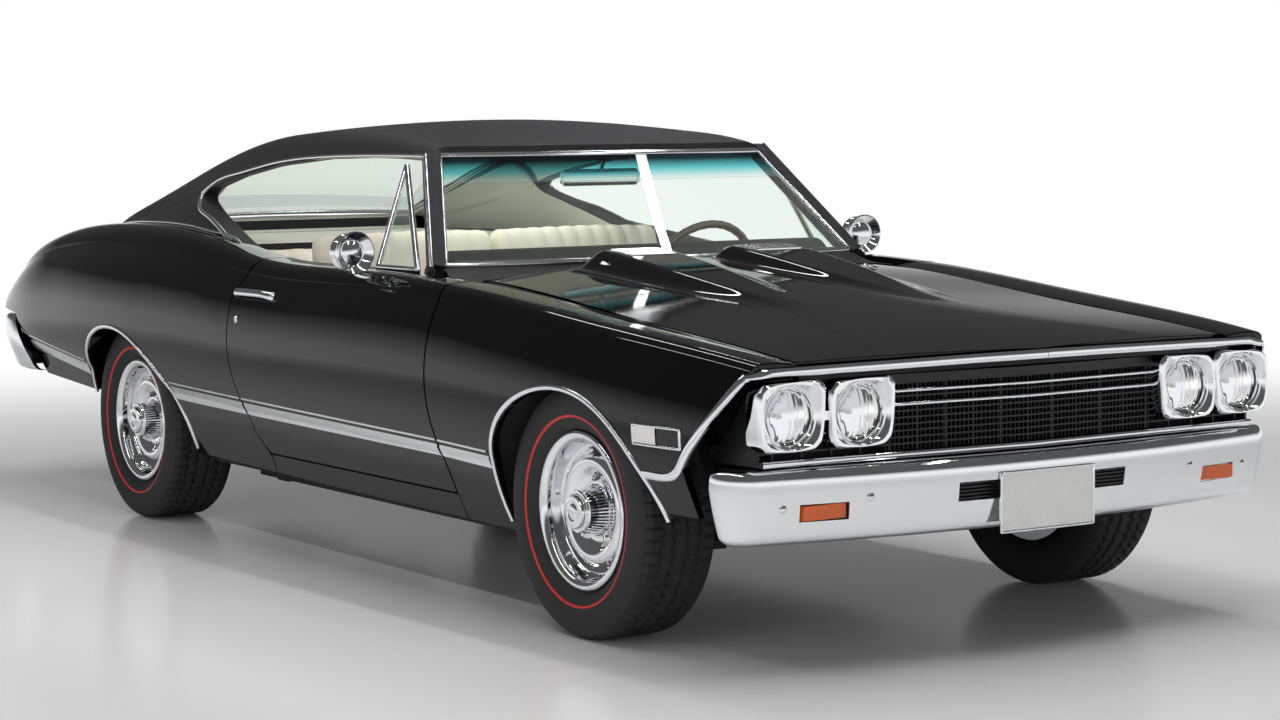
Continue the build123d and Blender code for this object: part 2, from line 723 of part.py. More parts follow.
def build_engine_bay():
    """Inner fenders and radiator support, engine with gearbox and shaft, exhaust, fuel tank."""
    back, front = 1158 + SEAT_GAP, 2284 - SEAT_GAP
    inner = side_prism([(back, 480), (front, 480), (front, 690), (back, 832)], 438, 454)
    roof_line = [(1250, 480), (1330, 700), (2010, 700), (2090, 480), (2106, 480), (2024, 714), (1316, 714), (1234, 480)]
    inner += side_prism(roof_line, 450, 690)
    support = box(2284, 2300, -690, 690, 452, 690) - box(2200, 2400, -320, 320, 480, 660)
    for side in (-1, 1):
        support += box(2300, 2380, side * 350, side * 390, 490, 506) + box(2366, 2380, side * 350, side * 390, 490, 540)
    support -= Location((-SEAT_GAP, 0, 0)) * NODES["grille"]
    keep("engine_bay", inner, flip(inner), support, box(2240, front, -318, 318, 456, 700))

    half_section = [(120, 312), (150, 420), (330, 620), (250, 735)]
    section = half_section + [(-y, z) for y, z in reversed(half_section)]
    engine = long_prism(section, 1320, 1980)
    engine += extrude(Plane(origin=(1640, 0, 720)) * Circle(190), amount=88)
    engine += rod((1330, 0, 312), (720, 0, 312), 118)
    engine += rod((730, 0, 320), (REAR_AXLE + DIFF_RADIUS + SEAT_GAP, 0, TYRE_RADIUS), 38)
    keep("powertrain", engine)

    run = [(1240, -240, 290), (1000, -240, EXHAUST_Z), (-830, -300, EXHAUST_Z), (-970, -300, 420), (-1420, -300, 420)]
    run += [(-1560, -300, 330), (-2440, -330, 330)]
    exhaust = pipe(run, EXHAUST_RADIUS) + box(-760, -260, -390, -210, 118, 186)
    keep("exhaust", exhaust, flip(exhaust))
    keep("fuel_tank", box(-2300, -1760, -250, 250, 260, BOOT_FLOOR - FLOOR_T))


RAIL = (60.0, 56.0)
JACKS = (850.0, -620.0)
JACK_Z = 160.0
ENGINE_LOW = 312.0


def build_chassis():
    """Perimeter frame, rear axle and front suspension."""
    path = [(2304, -400, 420), (1330, -400, 370), (1060, -560, 194), (-756, -560, 194), (-846, -530, 436), (-2396, -530, 436)]
    rail = bent_bar(path, *RAIL)
    frame = rail + flip(rail)
    frame += box(2220, 2260, -400, 400, 400, 440) + box(560, 630, -560, 560, EXHAUST_Z + EXHAUST_RADIUS + SEAT_GAP, 222)
    frame += box(-2396, -2340, -530, 530, 410, 460) + box(-900, -850, -530, 530, 446, 470)
    cradle = box(1600, 1726, -430, 430, 215, 300)
    for side in (-1, 1):
        cradle += box(1600, 1726, side * 372, side * 430, 215, 400)
        cradle += box(1630, 1696, side * 30, side * 110, 290, ENGINE_LOW - SEAT_GAP)
        for x in JACKS:
            frame += box(x - 40, x + 40, side * 535, side * 585, JACK_Z, 190)
        for x in (900, 100, -640):
            frame += extrude(Plane(origin=(x, side * 560, 200)) * Circle(26), amount=FLOOR_Z - FLOOR_T - SEAT_GAP - 200)
        for x in (-1300, -2200):
            frame += extrude(Plane(origin=(x, side * 530, 440)) * Circle(26), amount=BOOT_FLOOR - FLOOR_T - SEAT_GAP - 440)
    frame += cradle
    for side in (-1, 1):
        frame += box(2280, 2456, side * 380, side * 420, 400, 440) - Location((-SEAT_GAP, 0, 0)) * NODES["front_bumper"]
        frame += box(-2436, -2380, side * 510, side * 550, 444, 462) - Location((SEAT_GAP, 0, 0)) * NODES["rear_bumper"]
    keep("chassis_frame", frame)

    axle = rod((REAR_AXLE, -640, TYRE_RADIUS), (REAR_AXLE, 640, TYRE_RADIUS), 36)
    end = TRACK / 2 + SPINDLE_REACH
    axle += rod((REAR_AXLE, -end, TYRE_RADIUS), (REAR_AXLE, end, TYRE_RADIUS), SPINDLE)
    axle += Location((REAR_AXLE, 0, TYRE_RADIUS)) * Sphere(DIFF_RADIUS)
    for side in (-1, 1):
        spring = Plane(origin=(REAR_AXLE, side * 420, TYRE_RADIUS)) * Circle(52)
        axle += extrude(spring, amount=BOOT_FLOOR - FLOOR_T - TYRE_RADIUS - SEAT_GAP)
        axle += rod((REAR_AXLE, side * 470, 300), (-700, side * 490, 206), 18)
    keep("rear_axle", axle)

    arms = []
    for low in (KNUCKLE_LOW - SEAT_GAP - ARM_DEPTH, KNUCKLE_TOP + SEAT_GAP):
        inner_w = 430 + SEAT_GAP
        plan = [(FRONT_AXLE - 60, -inner_w), (FRONT_AXLE - 30, -700), (FRONT_AXLE + 30, -700), (FRONT_AXLE + 60, -inner_w)]
        arms.append(plan_prism(plan, low, low + ARM_DEPTH))
    spring = extrude(Plane(origin=(FRONT_AXLE, -520, KNUCKLE_LOW - 10)) * Circle(44), amount=KNUCKLE_TOP - KNUCKLE_LOW + 20)
    arms = arms[0] + arms[1] + spring
    keep("front_suspension", arms, flip(arms))

    post = extrude(Plane(origin=(FRONT_AXLE, -KINGPIN_W, KNUCKLE_LOW)) * Circle(KINGPIN_RADIUS), amount=KNUCKLE_TOP - KNUCKLE_LOW)
    post += rod((FRONT_AXLE, -KINGPIN_W, TYRE_RADIUS), (FRONT_AXLE, -end, TYRE_RADIUS), SPINDLE)
    both("knuckle", post)


SEAT_W = 640.0
COLUMN_Y = 370.0
COLUMN_DROP = 0.404
WHEEL_HUB = (426.0, COLUMN_Y, 827.0)
WHEEL_RIM = 192.0


def build_cabin():
    """Dashboard with its column, steering wheel, front bench with split backs, rear seat."""
    dash_front = 732 - SEAT_GAP
    dash = cross_prism(
        [(dash_front, 878), (612, 880), (584, 862), (588, 822), (636, 776), (640, 650), (700, 612), (dash_front, 612)], CABIN_W - 8
    )
    hx, hy, hz = WHEEL_HUB

    def along(distance):
        return (hx + distance, hy, hz - COLUMN_DROP * distance)

    column = rod(along(40), along(300), 30)
    dash += column
    dash -= rod(along(0), along(160), 12 + SEAT_GAP)
    keep("dashboard", dash)
    hub_plane = Plane(origin=WHEEL_HUB, x_dir=(0, 1, 0), z_dir=(1, 0, -COLUMN_DROP))
    wheel = hub_plane * Torus(WHEEL_RIM, 12)
    wheel += hub_plane * Cylinder(34, 40, align=(Align.CENTER, Align.CENTER, Align.MIN)).moved(Location((0, 0, -6)))
    wheel += hub_plane * Cylinder(12, 130, align=(Align.CENTER, Align.CENTER, Align.MIN))
    for angle in (0, 120, 240):
        spoke = Location((0, 0, 0), (0, 0, angle + 90)) * Location((WHEEL_RIM / 2, 0, 4)) * Box(WHEEL_RIM, 26, 7)
        wheel += hub_plane * spoke
    keep("steering_wheel", wheel)

    reach = TUNNEL_RADIUS + 2
    tunnel_room = extrude(Plane(origin=(-800, 0, TUNNEL_Z), z_dir=(1, 0, 0)) * Circle(reach), amount=2000)
    tunnel_room += box(-800, 1200, -reach, reach, 0, TUNNEL_Z)
    seat = cross_prism([(400, 400), (370, 455), (300, 476), (-110, 440), (-130, 340), (360, 330)], SEAT_W)
    seat += box(-100, 320, -SEAT_W + 120, SEAT_W - 120, FLOOR_Z + SEAT_GAP, 345)
    back = [(-60, 420), (-200, 940), (-228, 978), (-272, 980), (-300, 940), (-190, 400)]
    half_back = side_prism(back, 8, SEAT_W)
    seat = seat + half_back + flip(half_back)
    keep("front_seat", seat - tunnel_room)
    rear = cross_prism(
        [(-300, 430), (-340, 462), (-640, 440), (-742, 880), (-780, 908), (-866, 908), (-770, 520), (-690, FLOOR_Z + 30), (-320, 330)],
        572,
    )
    keep("rear_seat", rear - tunnel_room - NODES["rear_deck"] - NODES["floor_pan"])


def build_wheels():
    """Tyres and wheels: one right-hand pair moved to each corner and mirrored for the left."""
    half = TYRE_WIDTH / 2
    seat = RIM_RADIUS + SEAT_GAP
    bead = RIM_WIDTH / 2 - RIM_LIP - SEAT_GAP
    tread = TREAD_WIDTH / 2
    shoulder = TYRE_RADIUS - 12

    def at(radius, out):
        return Vector(0, -out, radius)

    foot = RIM_RADIUS + RIM_LIP + 2 * SEAT_GAP
    edges = [Edge.make_line(at(seat, bead), at(foot, bead))]
    edges.append(Edge.make_three_point_arc(at(foot, bead), at((foot + shoulder) / 2, half), at(shoulder, half - 10)))
    edges.append(Edge.make_line(at(shoulder, half - 10), at(TYRE_RADIUS, tread)))
    grooves = [(-tread * 0.5, GROOVE), (0, GROOVE), (tread * 0.5, GROOVE)]
    line = [at(TYRE_RADIUS, tread)]
    for place, deep in reversed(grooves):
        for out, radius in ((place + 4, TYRE_RADIUS), (place + 4, TYRE_RADIUS - deep)):
            line.append(at(radius, out))
        for out, radius in ((place - 4, TYRE_RADIUS - deep), (place - 4, TYRE_RADIUS)):
            line.append(at(radius, out))
    line.append(at(TYRE_RADIUS, -tread))
    edges += [Edge.make_line(a, b) for a, b in zip(line, line[1:])]
    edges.append(Edge.make_line(at(TYRE_RADIUS, -tread), at(shoulder, 10 - half)))
    edges.append(Edge.make_three_point_arc(at(shoulder, 10 - half), at((foot + shoulder) / 2, -half), at(foot, -bead)))
    edges.append(Edge.make_line(at(foot, -bead), at(seat, -bead)))
    edges.append(Edge.make_line(at(seat, -bead), at(seat, bead)))
    spin = Axis((0, 0, 0), (0, 1, 0))
    tyre = revolve(Face(Wire(edges)), axis=spin)

    # Wheel: rim, dished cover with five pockets between broad spokes, and a ribbed cone at the hub
    lip = RIM_RADIUS + RIM_LIP
    out = RIM_WIDTH / 2
    inner = RIM_RADIUS - RIM_WALL
    bore = SPINDLE + SEAT_GAP
    rim = [(lip, out), (lip, out - RIM_LIP), (RIM_RADIUS, out - RIM_LIP), (RIM_RADIUS, RIM_LIP - out), (lip, RIM_LIP - out), (lip, -out), (inner, -out)]
    face = [(inner, 10), (bore, 10), (bore, HUB_DEPTH), (0, HUB_DEPTH), (0, 118), (40, 118), (46, 110), (54, 100), (62, 62), (82, 54), (140, 46), (154, 58), (168, 88)]
    wheel = revolve(Face(Wire.make_polygon([at(radius, side) for radius, side in rim + face])), axis=spin)
    for step in range(SPOKES):
        turn = Location((0, 0, 0), (0, 360 / SPOKES * step, 0))
        pocket = turn * Location((0, -34, 112)) * Rot(90, 0, 0) * extrude(Ellipse(27, 24), amount=40)
        wheel -= pocket
    for step in range(HUB_RIBS):
        turn = Location((0, 0, 0), (0, 360 / HUB_RIBS * step, 0))
        wheel += turn * box(-2, 2, -98, -50, 52, 64)
    for place, axle in (("front", FRONT_AXLE), ("rear", REAR_AXLE)):
        spot = Location((axle, -TRACK / 2, TYRE_RADIUS))
        both(f"tyre_{place}", spot * tyre)
        both(f"wheel_{place}", spot * wheel)


def build_fittings(door):
    """Door mirrors, handles and vent windows, each seated on its door."""
    bar = box(-212, 36, -958, -944, 800, 820) + box(-204, -176, -950, -880, 802, 818) + box(4, 30, -950, -880, 802, 818)
    head = Plane(origin=(520, -918, 962), z_dir=(1, 0, 0)) * Circle(54)
    mirror = extrude(head, amount=26) + rod((540, -900, 930), (570, -850, 880), 14)
    both("door_fittings", pack_pieces(bar - door, mirror - door))
    low_w, top_w = 794, 652

    def at(point, w_shift):
        x, z = point
        share = (z - 914) / 298
        return (x, -(low_w + (top_w - low_w) * share) - w_shift, z)

    frame_lines = []
    outline = [(478, 914), (716, 914), (408, 1203)]
    for a, b in zip(outline, outline[1:] + outline[:1]):
        frame_lines.append(rod(at(a, 0), at(b, 0), 9))
    frame = frame_lines[0] + frame_lines[1] + frame_lines[2]
    for point in outline:
        frame += Location(at(point, 0)) * Sphere(9)
    both("vent_frame", frame - door)


def pack_pieces(*shapes):
    """Separate solids kept together as one piece."""
    return Compound(children=[solid for shape in shapes for solid in shape.solids()])


WALL, DOOR, ROCKER = build_sides()
build_glasshouse(WALL)
build_hood()
build_lid()
build_nose()
build_bumpers()
build_tail(WALL)
build_floor(ROCKER)
build_engine_bay()
build_chassis()
build_cabin()
build_wheels()
build_fittings(DOOR)
for node, shape in NODES.items():
    export_step(shape, f"parts/{node}.step")
    print(node, len(shape.solids()), round(shape.volume / 1e6, 2), "litres", shape.is_valid)
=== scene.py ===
# %% [markdown]
# # A black two-door hardtop, dressed over its CAD frame
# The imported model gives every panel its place. This lesson keeps that frame fixed and adds what
# the eye looks for on a polished car: smooth paint, chrome, glass, vinyl, tyres and pleated seats.
# The box of the plain model is measured first, because the finished car has to keep to it.

# %% Load the frame
import math

import bpy
import numpy as np
from mathutils import Matrix, Vector


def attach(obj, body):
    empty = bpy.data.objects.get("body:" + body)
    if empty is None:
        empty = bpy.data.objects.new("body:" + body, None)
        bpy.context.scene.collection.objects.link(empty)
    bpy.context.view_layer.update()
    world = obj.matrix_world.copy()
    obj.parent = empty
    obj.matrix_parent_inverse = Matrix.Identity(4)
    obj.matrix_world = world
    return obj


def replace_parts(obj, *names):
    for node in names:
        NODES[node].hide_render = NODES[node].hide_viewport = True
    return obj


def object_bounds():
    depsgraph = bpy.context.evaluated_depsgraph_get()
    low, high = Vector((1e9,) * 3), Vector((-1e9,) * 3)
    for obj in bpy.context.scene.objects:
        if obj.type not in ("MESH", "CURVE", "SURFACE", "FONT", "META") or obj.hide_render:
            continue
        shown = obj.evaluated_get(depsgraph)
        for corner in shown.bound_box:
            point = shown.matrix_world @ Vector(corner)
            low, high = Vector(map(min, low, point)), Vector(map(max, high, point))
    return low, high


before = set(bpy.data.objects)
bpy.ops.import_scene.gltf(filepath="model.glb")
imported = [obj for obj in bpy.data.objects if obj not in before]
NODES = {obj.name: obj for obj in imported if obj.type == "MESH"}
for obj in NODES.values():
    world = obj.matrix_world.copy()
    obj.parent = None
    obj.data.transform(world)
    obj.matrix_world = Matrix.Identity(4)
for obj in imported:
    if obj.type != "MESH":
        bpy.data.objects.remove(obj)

CAD_BOX = [[float(v) for v in corner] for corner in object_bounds()]
SIDES = ("right", "left")
print("frame:", len(NODES), "nodes, box", CAD_BOX)

# %% [markdown]
# ## The camera
# The car is seen from its right front corner, from about the height of its roof. A long lens keeps
# the wheels round and the lines calm. A camera could be aimed at a target with a constraint. Here
# its three angles and its lens were worked out from the wheels and lamps, so they are set as one
# matrix, which gives the same frame on every run.

# %% Camera
CAMERA_PLACE = (7.838, -4.661, 1.332)
CAMERA_ANGLES = (147.043, -4.815, -0.556)
CAMERA_LENS, SENSOR_WIDTH = 80.02, 36


def place_camera():
    yaw, pitch, roll = (math.radians(v) for v in CAMERA_ANGLES)
    ahead = Vector((math.cos(yaw) * math.cos(pitch), math.sin(yaw) * math.cos(pitch), math.sin(pitch)))
    right = ahead.cross(Vector((0, 0, 1))).normalized()
    up = right.cross(ahead)
    side = math.cos(roll) * right + math.sin(roll) * up
    top = math.cos(roll) * up - math.sin(roll) * right
    data = bpy.data.cameras.new("camera")
    data.sensor_width = SENSOR_WIDTH
    data.lens = CAMERA_LENS
    camera = bpy.data.objects.new("camera", data)
    bpy.context.collection.objects.link(camera)
    turned = Matrix((side, top, -ahead)).transposed().to_4x4()
    camera.matrix_world = Matrix.Translation(CAMERA_PLACE) @ turned
    bpy.context.scene.camera = camera
    return camera


print("camera at", tuple(round(v, 3) for v in place_camera().location))

# %% [markdown]
# ## The white room
# Black paint shows almost nothing of itself, only what it mirrors. So the room matters more than
# the lamps. A picture of a studio could be wrapped round the car. A plain gradient was chosen,
# white near the floor and darker overhead, because it needs no picture and gives chrome its
# contrast. The camera and the glass see plain white behind the car.

# %% White room
WHITE = (1, 1, 1, 1)
ROOM_SHADE = {"From Min": 0.0, "From Max": 0.2, "To Min": 1.0, "To Max": 0.1}


def add_node(tree, kind, **values):
    """A new shader node with its plain numbers set."""
    node = tree.nodes.new("ShaderNode" + kind)
    for socket, value in values.items():
        node.inputs[socket].default_value = value
    return node


def wire(source, plug, target, socket):
    """Links an output of one node to an input of another."""
    source.id_data.links.new(source.outputs[plug], target.inputs[socket])


def larger(source, plug, other, other_plug):
    """A node that gives the larger of two values."""
    node = add_node(source.id_data, "Math")
    node.operation = "MAXIMUM"
    wire(source, plug, node, 0)
    wire(other, other_plug, node, 1)
    return node


def build_white_room():
    scene = bpy.context.scene
    scene.view_settings.view_transform = "Standard"
    world = bpy.data.worlds.new("white_room")
    scene.world = world
    world.use_nodes = True
    tree = world.node_tree
    tree.nodes.clear()
    coords, split = add_node(tree, "TexCoord"), add_node(tree, "SeparateXYZ")
    shade = add_node(tree, "MapRange", **ROOM_SHADE)
    light = add_node(tree, "Background", Color=WHITE)
    seen = add_node(tree, "Background", Color=WHITE, Strength=1.0)
    path, mix = add_node(tree, "LightPath"), add_node(tree, "MixShader")
    wire(coords, "Generated", split, 0)
    wire(split, "Z", shade, "Value")
    wire(shade, 0, light, "Strength")
    wire(larger(path, "Is Camera Ray", path, "Is Transmission Ray"), 0, mix, 0)
    wire(light, 0, mix, 1)
    wire(seen, 0, mix, 2)
    wire(mix, 0, add_node(tree, "OutputWorld"), 0)
    return world


print("room:", build_white_room().name)

# %% [markdown]
# ## The lamps
# A showroom hangs long tubes over a dark car, and their reflections draw the hood and shoulders.
# Spot lamps would leave hard dots on the paint. Three narrow area lamps are mirrored by the car,
# while broad ones on the ceiling and walls and a small one in the cabin only fill, so they are kept
# out of the mirrors.

# %% Lamps
# Columns: name, place, size, power, seen in mirrors
LAMPS = [
    ("strip_right", (1.2, -2.6, 3.4), (6.0, 0.09), 34, True),
    ("strip_middle", (1.0, -0.35, 3.6), (6.0, 0.09), 34, True),
    ("strip_left", (1.0, 1.6, 3.4), (6.0, 0.09), 34, True),
    ("ceiling", (0.5, 0.0, 4.2), (6.0, 4.0), 140, False),
    ("side_wall", (2.0, -7.0, 2.2), (6.0, 2.6), 95, False),
    ("front_wall", (8.5, -1.5, 2.0), (4.5, 2.2), 60, False),
    ("cabin", (-0.3, 0.0, 1.2), (1.0, 0.9), 5, False),
]
WALL_AIM = (0.2, 0, 0.5)


def hang_lamps():
    for name, place, size, power, mirrored in LAMPS:
        data = bpy.data.lights.new(name, "AREA")
        data.shape = "RECTANGLE"
        data.size, data.size_y = size
        data.energy = power
        lamp = bpy.data.objects.new(name, data)
        bpy.context.collection.objects.link(lamp)
        lamp.location = place
        lamp.visible_glossy = mirrored
        lamp.visible_transmission = False
        lamp.visible_camera = False
        if name.endswith("wall"):
            aim = Vector(WALL_AIM) - Vector(place)
            lamp.rotation_euler = aim.to_track_quat("-Z", "Y").to_euler()


hang_lamps()
print("lamps:", len(LAMPS))

# %% [markdown]
# ## Tools for finishes
# A finish is colour, gloss and grain. Photographed textures would need picture files and a flat
# layout of every piece. Noise and cell patterns are computed instead, at the size that the real
# grain has, and drive bump, roughness and colour. Plain numbers sit on the shader itself, so they
# survive when the model is taken elsewhere.

# %% Tools for finishes
FINISH = {}


def finish(name, color, rough, metal=0.0, **extra):
    material = bpy.data.materials.new(name)
    material.use_nodes = True
    shader = material.node_tree.nodes["Principled BSDF"]
    shader.inputs["Base Color"].default_value = (*color, 1)
    shader.inputs["Roughness"].default_value = rough
    shader.inputs["Metallic"].default_value = metal
    for socket, value in extra.items():
        shader.inputs[socket.replace("_", " ")].default_value = value
    FINISH[name] = material
    return material


def grain(name, kind, scale, depth, distance=0.001, stretch=(1, 1, 1), rough=None, tint=None):
    """Adds a pattern that drives a finish's bump and, if asked, its roughness and colour."""
    tree = FINISH[name].node_tree
    shader = tree.nodes["Principled BSDF"]
    mapping = add_node(tree, "Mapping", Scale=stretch)
    wire(add_node(tree, "TexCoord"), "Object", mapping, "Vector")
    pattern = add_node(tree, "Tex" + kind, Scale=scale)
    wire(mapping, 0, pattern, "Vector")
    plug = "Distance" if kind == "Voronoi" else 0
    bump = add_node(tree, "Bump", Strength=depth, Distance=distance)
    wire(pattern, plug, bump, "Height")
    wire(bump, 0, shader, "Normal")
    if rough:
        span = add_node(tree, "MapRange", **{"To Min": rough[0], "To Max": rough[1]})
        wire(pattern, plug, span, "Value")
        wire(span, 0, shader, "Roughness")
    if tint:
        ramp = add_node(tree, "ValToRGB")
        for stop, color in zip(ramp.color_ramp.elements, tint):
            stop.color = (*color, 1)
        wire(pattern, plug, ramp, "Fac")
        wire(ramp, 0, shader, "Base Color")


print("finish tools ready")

# %% [markdown]
# ## Paint and metal
# Polished black paint is almost a black mirror, and chrome is a bright one. Both could be left
# perfectly smooth. A trace of noise in bump and gloss is added, because a real panel is never
# flawless and a perfect mirror looks drawn. Trim that is only brushed gets more roughness.

# %% Paint and metal
finish("paint", (0.0022, 0.0022, 0.0026), 0.02, Specular_IOR_Level=0.3)
grain("paint", "Noise", 900, 0.02, 0.0003, rough=(0.012, 0.03))
finish("chrome", (0.83, 0.84, 0.86), 0.045, 1.0)
grain("chrome", "Noise", 14, 0.02, 0.0005, rough=(0.03, 0.07))
finish("bright_trim", (0.86, 0.87, 0.88), 0.16, 1.0)
grain("bright_trim", "Noise", 40, 0.02, 0.0004, rough=(0.12, 0.22))
finish("reflector", (0.9, 0.9, 0.92), 0.08, 1.0)
grain("reflector", "Noise", 60, 0.05, 0.0005, rough=(0.05, 0.12))
finish("cast_iron", (0.09, 0.088, 0.086), 0.6, 0.6)
IRON_TINT = ((0.05, 0.05, 0.05), (0.14, 0.135, 0.13))
grain("cast_iron", "Noise", 220, 0.5, 0.001, rough=(0.5, 0.75), tint=IRON_TINT)
finish("pipe_steel", (0.32, 0.31, 0.3), 0.45, 0.9)
STEEL_TINT = ((0.2, 0.19, 0.18), (0.42, 0.4, 0.38))
grain("pipe_steel", "Noise", 30, 0.1, 0.001, rough=(0.35, 0.6), tint=STEEL_TINT)
finish("plate", (0.85, 0.85, 0.84), 0.35)
grain("plate", "Noise", 80, 0.05, 0.0004, tint=((0.8, 0.8, 0.79), (0.9, 0.9, 0.89)))
print("paint and metal:", len(FINISH))

# %% [markdown]
# ## Vinyl, cloth and rubber
# The roof is covered in pebbled vinyl, the seats in a finer one, the floor in carpet. Small cells
# make the pebbles, which noise can't; noise makes the cloth, the carpet's pile and the dull bloom
# of rubber. Each grain also shifts the colour a little, so broad areas don't look painted.

# %% Vinyl, cloth and rubber
finish("vinyl_roof", (0.009, 0.009, 0.01), 0.5, Specular_IOR_Level=0.25)
ROOF_TINT = ((0.012, 0.012, 0.013), (0.03, 0.03, 0.032))
grain("vinyl_roof", "Voronoi", 420, 0.5, 0.0012, rough=(0.38, 0.56), tint=ROOF_TINT)
finish("ivory_vinyl", (0.82, 0.77, 0.66), 0.42)
IVORY_TINT = ((0.76, 0.71, 0.6), (0.86, 0.81, 0.7))
grain("ivory_vinyl", "Voronoi", 600, 0.25, 0.0006, rough=(0.36, 0.5), tint=IVORY_TINT)
finish("headliner", (0.84, 0.82, 0.74), 0.8)
grain("headliner", "Noise", 700, 0.4, 0.0006, tint=((0.78, 0.76, 0.68), (0.88, 0.86, 0.78)))
finish("carpet", (0.02, 0.02, 0.022), 0.95)
grain("carpet", "Noise", 900, 1.0, 0.003, tint=((0.008, 0.008, 0.009), (0.045, 0.045, 0.048)))
finish("dash_vinyl", (0.007, 0.007, 0.008), 0.55, Specular_IOR_Level=0.25)
grain("dash_vinyl", "Voronoi", 500, 0.4, 0.0008, rough=(0.48, 0.65))
finish("tyre", (0.018, 0.018, 0.019), 0.72)
RUBBER_TINT = ((0.012, 0.012, 0.013), (0.028, 0.028, 0.03))
grain("tyre", "Noise", 260, 0.25, 0.0008, rough=(0.6, 0.85), tint=RUBBER_TINT)
finish("red_line", (0.62, 0.02, 0.02), 0.5)
grain("red_line", "Noise", 120, 0.1, 0.0004, tint=((0.5, 0.012, 0.014), (0.68, 0.03, 0.03)))
finish("satin_black", (0.01, 0.01, 0.011), 0.42)
grain("satin_black", "Noise", 500, 0.15, 0.0005, rough=(0.34, 0.52))
finish("underbody", (0.016, 0.016, 0.017), 0.7)
UNDER_TINT = ((0.008, 0.008, 0.009), (0.03, 0.029, 0.028))
grain("underbody", "Noise", 60, 0.3, 0.001, rough=(0.55, 0.85), tint=UNDER_TINT)
finish("rim_wood", (0.13, 0.045, 0.018), 0.28, Coat_Weight=0.7)
WOOD_TINT = ((0.06, 0.018, 0.007), (0.22, 0.085, 0.03))
grain("rim_wood", "Noise", 26, 0.05, 0.0004, stretch=(1, 9, 9), tint=WOOD_TINT)
print("finishes so far:", len(FINISH))

# %% [markdown]
# ## Glass and lenses
# The panes are faintly green, and a blue tint band runs across the top of the windscreen; its top
# turns near black, which is painted shade standing for the dark header behind the glass. Thin glass
# could be faked with transparency; real transmission was chosen, because the panes here are solid
# and bend the light as they should. The band's colour follows its height. Lamp lenses are moulded
# in small cells or ribs, which the grain repeats.

# %% Glass and lenses
# The last stop is near black. It is painted shade for the dark header behind the glass, above the blue of
# the real tint band.
TINT_AND_SHADE_STOPS = ((0.0, (0.95, 1.0, 0.99)), (0.4, (0.16, 0.62, 0.7)), (0.75, (0.008, 0.03, 0.04)))
GLASS = dict(Transmission_Weight=1.0, IOR=1.45)


def shade_ramp(name, stops):
    """Colours a finish by the height on its piece, from stops of share and colour."""
    tree = FINISH[name].node_tree
    split, ramp = add_node(tree, "SeparateXYZ"), add_node(tree, "ValToRGB")
    ramp.color_ramp.elements.remove(ramp.color_ramp.elements[0])
    for number, (share, color) in enumerate(stops):
        stop = ramp.color_ramp.elements[0] if number == 0 else ramp.color_ramp.elements.new(share)
        stop.position = share
        stop.color = (*color, 1)
    wire(add_node(tree, "TexCoord"), "Generated", split, 0)
    wire(split, "Z", ramp, 0)
    wire(ramp, 0, tree.nodes["Principled BSDF"], "Base Color")


finish("tinted_glass", (0.9, 0.985, 0.92), 0.0, **GLASS)
finish("band_glass", (0.1, 0.55, 0.68), 0.0, **GLASS)
shade_ramp("band_glass", TINT_AND_SHADE_STOPS)
finish("lamp_glass", (0.97, 0.98, 1.0), 0.02, **GLASS)
finish("amber", (0.86, 0.11, 0.006), 0.12, Coat_Weight=0.3)
grain("amber", "Voronoi", 260, 0.35, 0.0008, tint=((0.62, 0.07, 0.008), (0.88, 0.17, 0.02)))
finish("ruby", (0.5, 0.012, 0.012), 0.14, Coat_Weight=0.6)
grain("ruby", "Voronoi", 260, 0.35, 0.0008, tint=((0.34, 0.006, 0.006), (0.62, 0.02, 0.02)))
finish("white_lens", (0.86, 0.85, 0.8), 0.2, Coat_Weight=0.5)
grain("white_lens", "Wave", 60, 0.3, 0.0008, tint=((0.72, 0.71, 0.66), (0.92, 0.91, 0.87)))
print("finishes:", len(FINISH))

# %% [markdown]
# ## Floor
# A plain pale floor carries the car, its shadow and a soft reflection. It belongs to the stage and
# not to the car. A curved backdrop would hide the horizon too. A flat floor that fades to white
# further out was chosen, because it looks the same from every side.

# %% Floor
FLOOR_HALF, FLOOR_GAP = 40, 0.0005
FADE_FROM, FADE_TO = 2.6, 7.5


def floor_finish():
    material = finish("pale_floor", (0.9, 0.9, 0.9), 0.16)
    tree = material.node_tree
    far, path = add_node(tree, "Emission", Color=WHITE), add_node(tree, "LightPath")
    length = add_node(tree, "VectorMath")
    length.operation = "LENGTH"
    span = add_node(tree, "MapRange", **{"From Min": FADE_FROM, "From Max": FADE_TO})
    span.interpolation_type = "SMOOTHSTEP"
    share = add_node(tree, "Math")
    share.operation = "MULTIPLY"
    mix = add_node(tree, "MixShader")
    wire(add_node(tree, "TexCoord"), "Object", length, 0)
    wire(length, "Value", span, "Value")
    wire(span, 0, share, 0)
    rays = larger(path, "Is Camera Ray", path, "Is Glossy Ray")
    wire(larger(rays, 0, path, "Is Transmission Ray"), 0, share, 1)
    wire(share, 0, mix, 0)
    wire(tree.nodes["Principled BSDF"], 0, mix, 1)
    wire(far, 0, mix, 2)
    wire(mix, 0, tree.nodes["Material Output"], "Surface")
    return material


def lay_floor():
    mesh = bpy.data.meshes.new("floor")
    h = FLOOR_HALF
    mesh.from_pydata([(-h, -h, 0), (h, -h, 0), (h, h, 0), (-h, h, 0)], [], [(0, 1, 2, 3)])
    floor = bpy.data.objects.new("floor", mesh)
    bpy.context.collection.objects.link(floor)
    mesh.materials.append(floor_finish())
    floor.location.z = CAD_BOX[0][2] - FLOOR_GAP
    return floor


print("floor at", lay_floor().location.z)

# %% [markdown]
# ## Finishes for the plain pieces
# Many pieces of the frame already have the right shape, such as the roof, the grille and what lies
# below the floor. They could be modelled again in finer meshes. They only get a finish, because
# their shape is right and less mesh keeps the car light.

